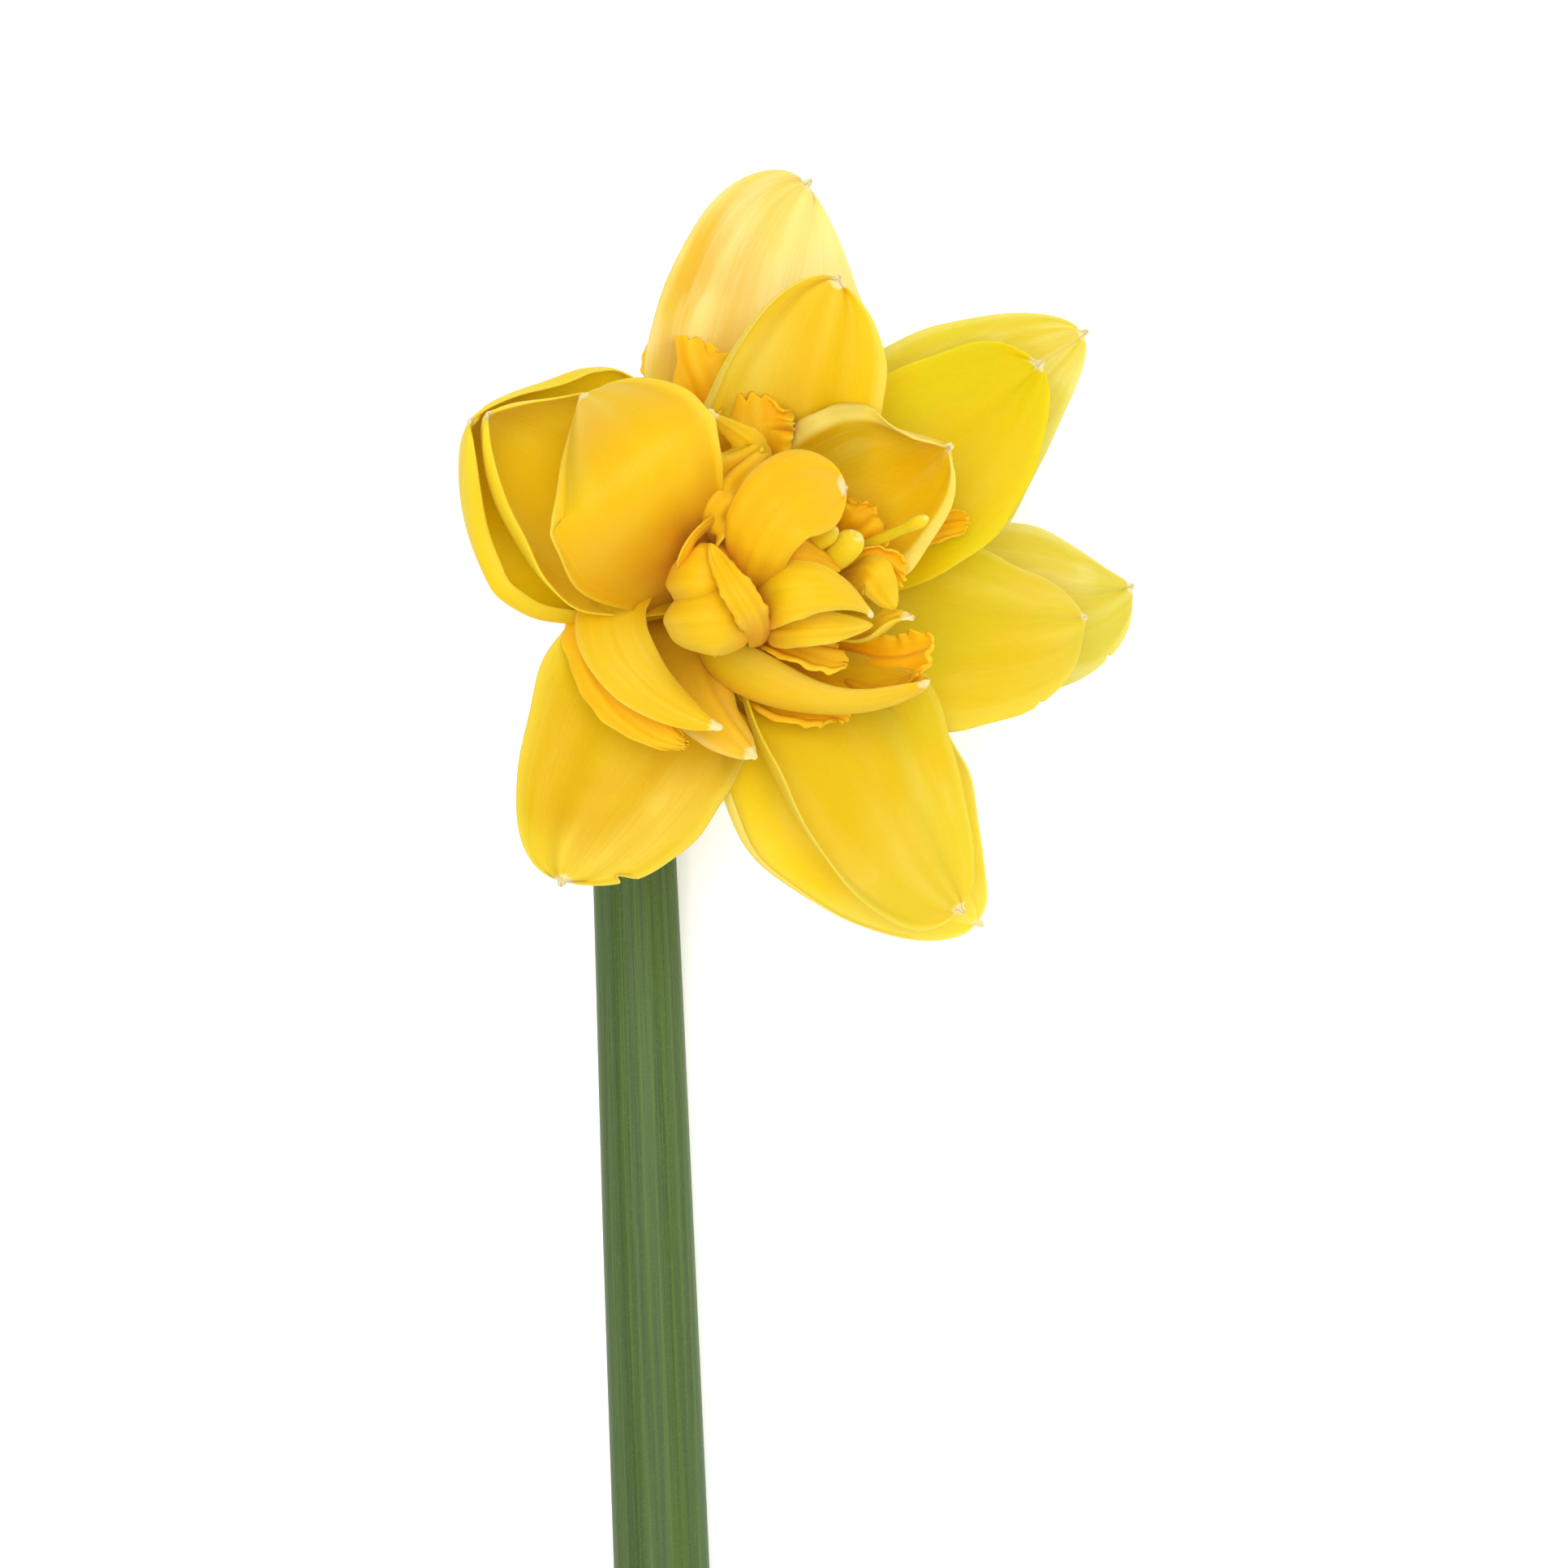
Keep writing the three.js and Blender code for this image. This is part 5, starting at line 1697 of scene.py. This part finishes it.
@dataclass
class Club:
    """A round-ended club: a stalk whose head swells as a sine.

    Attributes:
        name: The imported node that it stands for.
        course: Places that its centre line passes, from foot to end.
        foot: Radius of its foot.
        neck: Radius that its stalk narrows or widens to.
        full: Radius of its head.
        head: The share of its length that the head takes.
    """

    name: str
    course: tuple[Point, ...]
    foot: float
    neck: float
    full: float
    head: float

    def radius(self, t: np.ndarray, angle: np.ndarray) -> np.ndarray:
        """Stalk, plus what the head adds times the sine of its share, less the rounded end.

        Args:
            t: How far along, from 0 to 1.
            angle: The angle round the club.

        Returns:
            The radius at each place.
        """
        up_head = np.clip((t - 1 + self.head) / self.head, 0, 1)
        stalk = self.foot + (self.neck - self.foot) * t
        swollen = stalk + (self.full - stalk) * np.sin(np.pi * 0.9 * up_head) ** 0.8
        rounded = np.sqrt(np.clip(1 - np.clip((t - 0.93) / 0.07, 0, 1) ** 2, 0.01, 1))
        return swollen * rounded * (1 + 0.04 * np.cos(3 * angle))

    def build(self) -> None:
        """Makes the club."""
        line = Line(np.array(self.course, float))
        RoundPiece(
            self.name, Tint.BUD, "petaloid", line, self.radius, steps=90, sides=32, mark=pale_end
        ).build()


@dataclass
class Middle:
    """The core that closes the throat, and the buds and thread among the heart's petaloids.

    Attributes:
        core_radius: Widest radius of the core.
        core_foot: Height of its foot over the throat's middle.
        core_top: Height of its top.
        shoulder: How far up the core is widest, as a share.
        clubs: The two unopened buds and the thread.
    """

    core_radius: float = 5.2
    core_foot: float = 1.0
    core_top: float = 22.0
    shoulder: float = 0.38
    clubs: tuple[Club, ...] = (
        Club("heart_bud_large", ((6.5, -1, 14), (8.8, 0.8, 25.5), (12.6, 4.4, 29)), 0.8, 1.0, 1.65, 0.3),
        Club("heart_bud_small", ((4, 2, 14), (6.4, 3, 26.5), (10.2, 4.9, 30)), 0.7, 0.8, 1.25, 0.28),
        Club("heart_thread", ((9, 2.5, 13), (13.5, 3.6, 22), (20, 6.3, 26.5)), 0.6, 0.55, 0.75, 0.15),
    )

    def build(self) -> None:
        """Makes the core and the three clubs."""
        line = Line(np.array([BLOOM_AXIS * self.core_foot, BLOOM_AXIS * self.core_top]))
        RoundPiece("heart_core", Tint.HEART, "petaloid", line, self.core, steps=60).build()
        for club in self.clubs:
            club.build()

    def core(self, t: np.ndarray, angle: np.ndarray) -> np.ndarray:
        """Radius of a narrow foot that widens to the shoulder and closes as a quarter circle.

        Args:
            t: How far up the core, from 0 to 1.
            angle: The angle round it, which changes nothing.

        Returns:
            The radius at each place.
        """
        foot = np.interp(t, [0, self.shoulder / 2, self.shoulder], [2.6, 3.4, self.core_radius])
        over = np.clip((t - self.shoulder) / (1 - self.shoulder), 0, 1)
        return foot * np.sqrt(np.clip(1 - over**2, 0.0004, 1)) * np.ones_like(angle)


# ------------------------------------------------------------------------------------------
# Floor, light and camera
# ------------------------------------------------------------------------------------------


@dataclass
class Studio:
    """A plain pale floor, even soft light and the camera above the flower.

    Attributes:
        floor_half: Half the floor's side, in metres.
        sky_strength: Strength of the light from all round.
        light_side: Side of the two square lights, in metres.
        key_place: Where the key light hangs, in metres.
        key_power: Its power in watts.
        fill_place: Where the fill light hangs, in metres.
        fill_power: Its power in watts.
        aim: What both lights look at, in metres.
        camera_place: The camera's place in the bloom's frame, in millimetres.
        view_width: How wide a stretch it sees in the plane of the throat, in millimetres.
        sensor: Width of its sensor, in millimetres.
    """

    floor_half: float = 3.0
    sky_strength: float = 0.5
    light_side: float = 0.9
    key_place: Point = (0.42, 0.15, 1.2)
    key_power: float = 14.0
    fill_place: Point = (-0.5, -0.3, 1.1)
    fill_power: float = 2.8
    aim: Point = (0.0, 0.07, 0.04)
    camera_place: Point = (4.59, -22.14, 700.0)
    view_width: float = 173.88
    sensor: float = 36.0

    def build(self) -> None:
        """Makes the floor, the lights and the camera."""
        self.build_floor()
        self.build_sky()
        self.build_light("key", self.key_place, self.key_power)
        self.build_light("fill", self.fill_place, self.fill_power)
        self.build_camera()

    def build_floor(self) -> None:
        """A large flat sheet under the flower."""
        half = self.floor_half
        corners = [(-half, -half, 0), (half, -half, 0), (half, half, 0), (-half, half, 0)]
        mesh = bpy.data.meshes.new("floor")
        mesh.from_pydata(corners, [], [(0, 1, 2, 3)])
        mesh.materials.append(FloorFinish().material())
        floor = bpy.data.objects.new("floor", mesh)
        bpy.context.scene.collection.objects.link(floor)

    def build_sky(self) -> None:
        """Even white light from all round."""
        world = bpy.data.worlds.new("studio")
        world.use_nodes = True
        background = world.node_tree.nodes["Background"]
        background.inputs["Color"].default_value = (1.0, 1.0, 1.0, 1.0)
        background.inputs["Strength"].default_value = self.sky_strength
        scene = bpy.context.scene
        scene.world = world
        scene.view_settings.view_transform = "Standard"

    def build_light(self, name: str, place: Point, power: float) -> None:
        """A square soft light that looks at the bloom.

        Args:
            name: The light's name.
            place: Where it hangs, in metres.
            power: Its power in watts.
        """
        data = bpy.data.lights.new(name, "AREA")
        data.energy = power
        data.size = self.light_side
        light = bpy.data.objects.new(name, data)
        light.location = place
        look = Vector(self.aim) - light.location
        light.rotation_euler = look.to_track_quat("-Z", "Y").to_euler()
        bpy.context.scene.collection.objects.link(light)

    def build_camera(self) -> None:
        """The camera, which looks down the bloom frame's -Z."""
        data = bpy.data.cameras.new("camera")
        data.sensor_width = self.sensor
        data.lens = self.sensor * self.camera_place[2] / self.view_width
        data.clip_start = 0.01
        data.clip_end = 20.0
        camera = bpy.data.objects.new("camera", data)
        camera.location = PLACEMENT.placed(np.array(self.camera_place))
        camera.rotation_euler = (0.0, RESTING_ROLL, 0.0)
        bpy.context.scene.collection.objects.link(camera)
        bpy.context.scene.camera = camera


def main() -> None:
    """Builds the flower piece by piece, then its setting."""
    logging.basicConfig(level=logging.INFO, format="%(message)s")
    scape = Scape()
    PLACEMENT.fit(scape.ovary_middle(), "ovary")
    scape.build()
    Middle().build()
    for group in (Petaloids(), Heart(), Corona(), InnerWhorl(), OuterWhorl(), Sheath()):
        group.build()
    Studio().build()


if __name__ == "__main__":
    main()
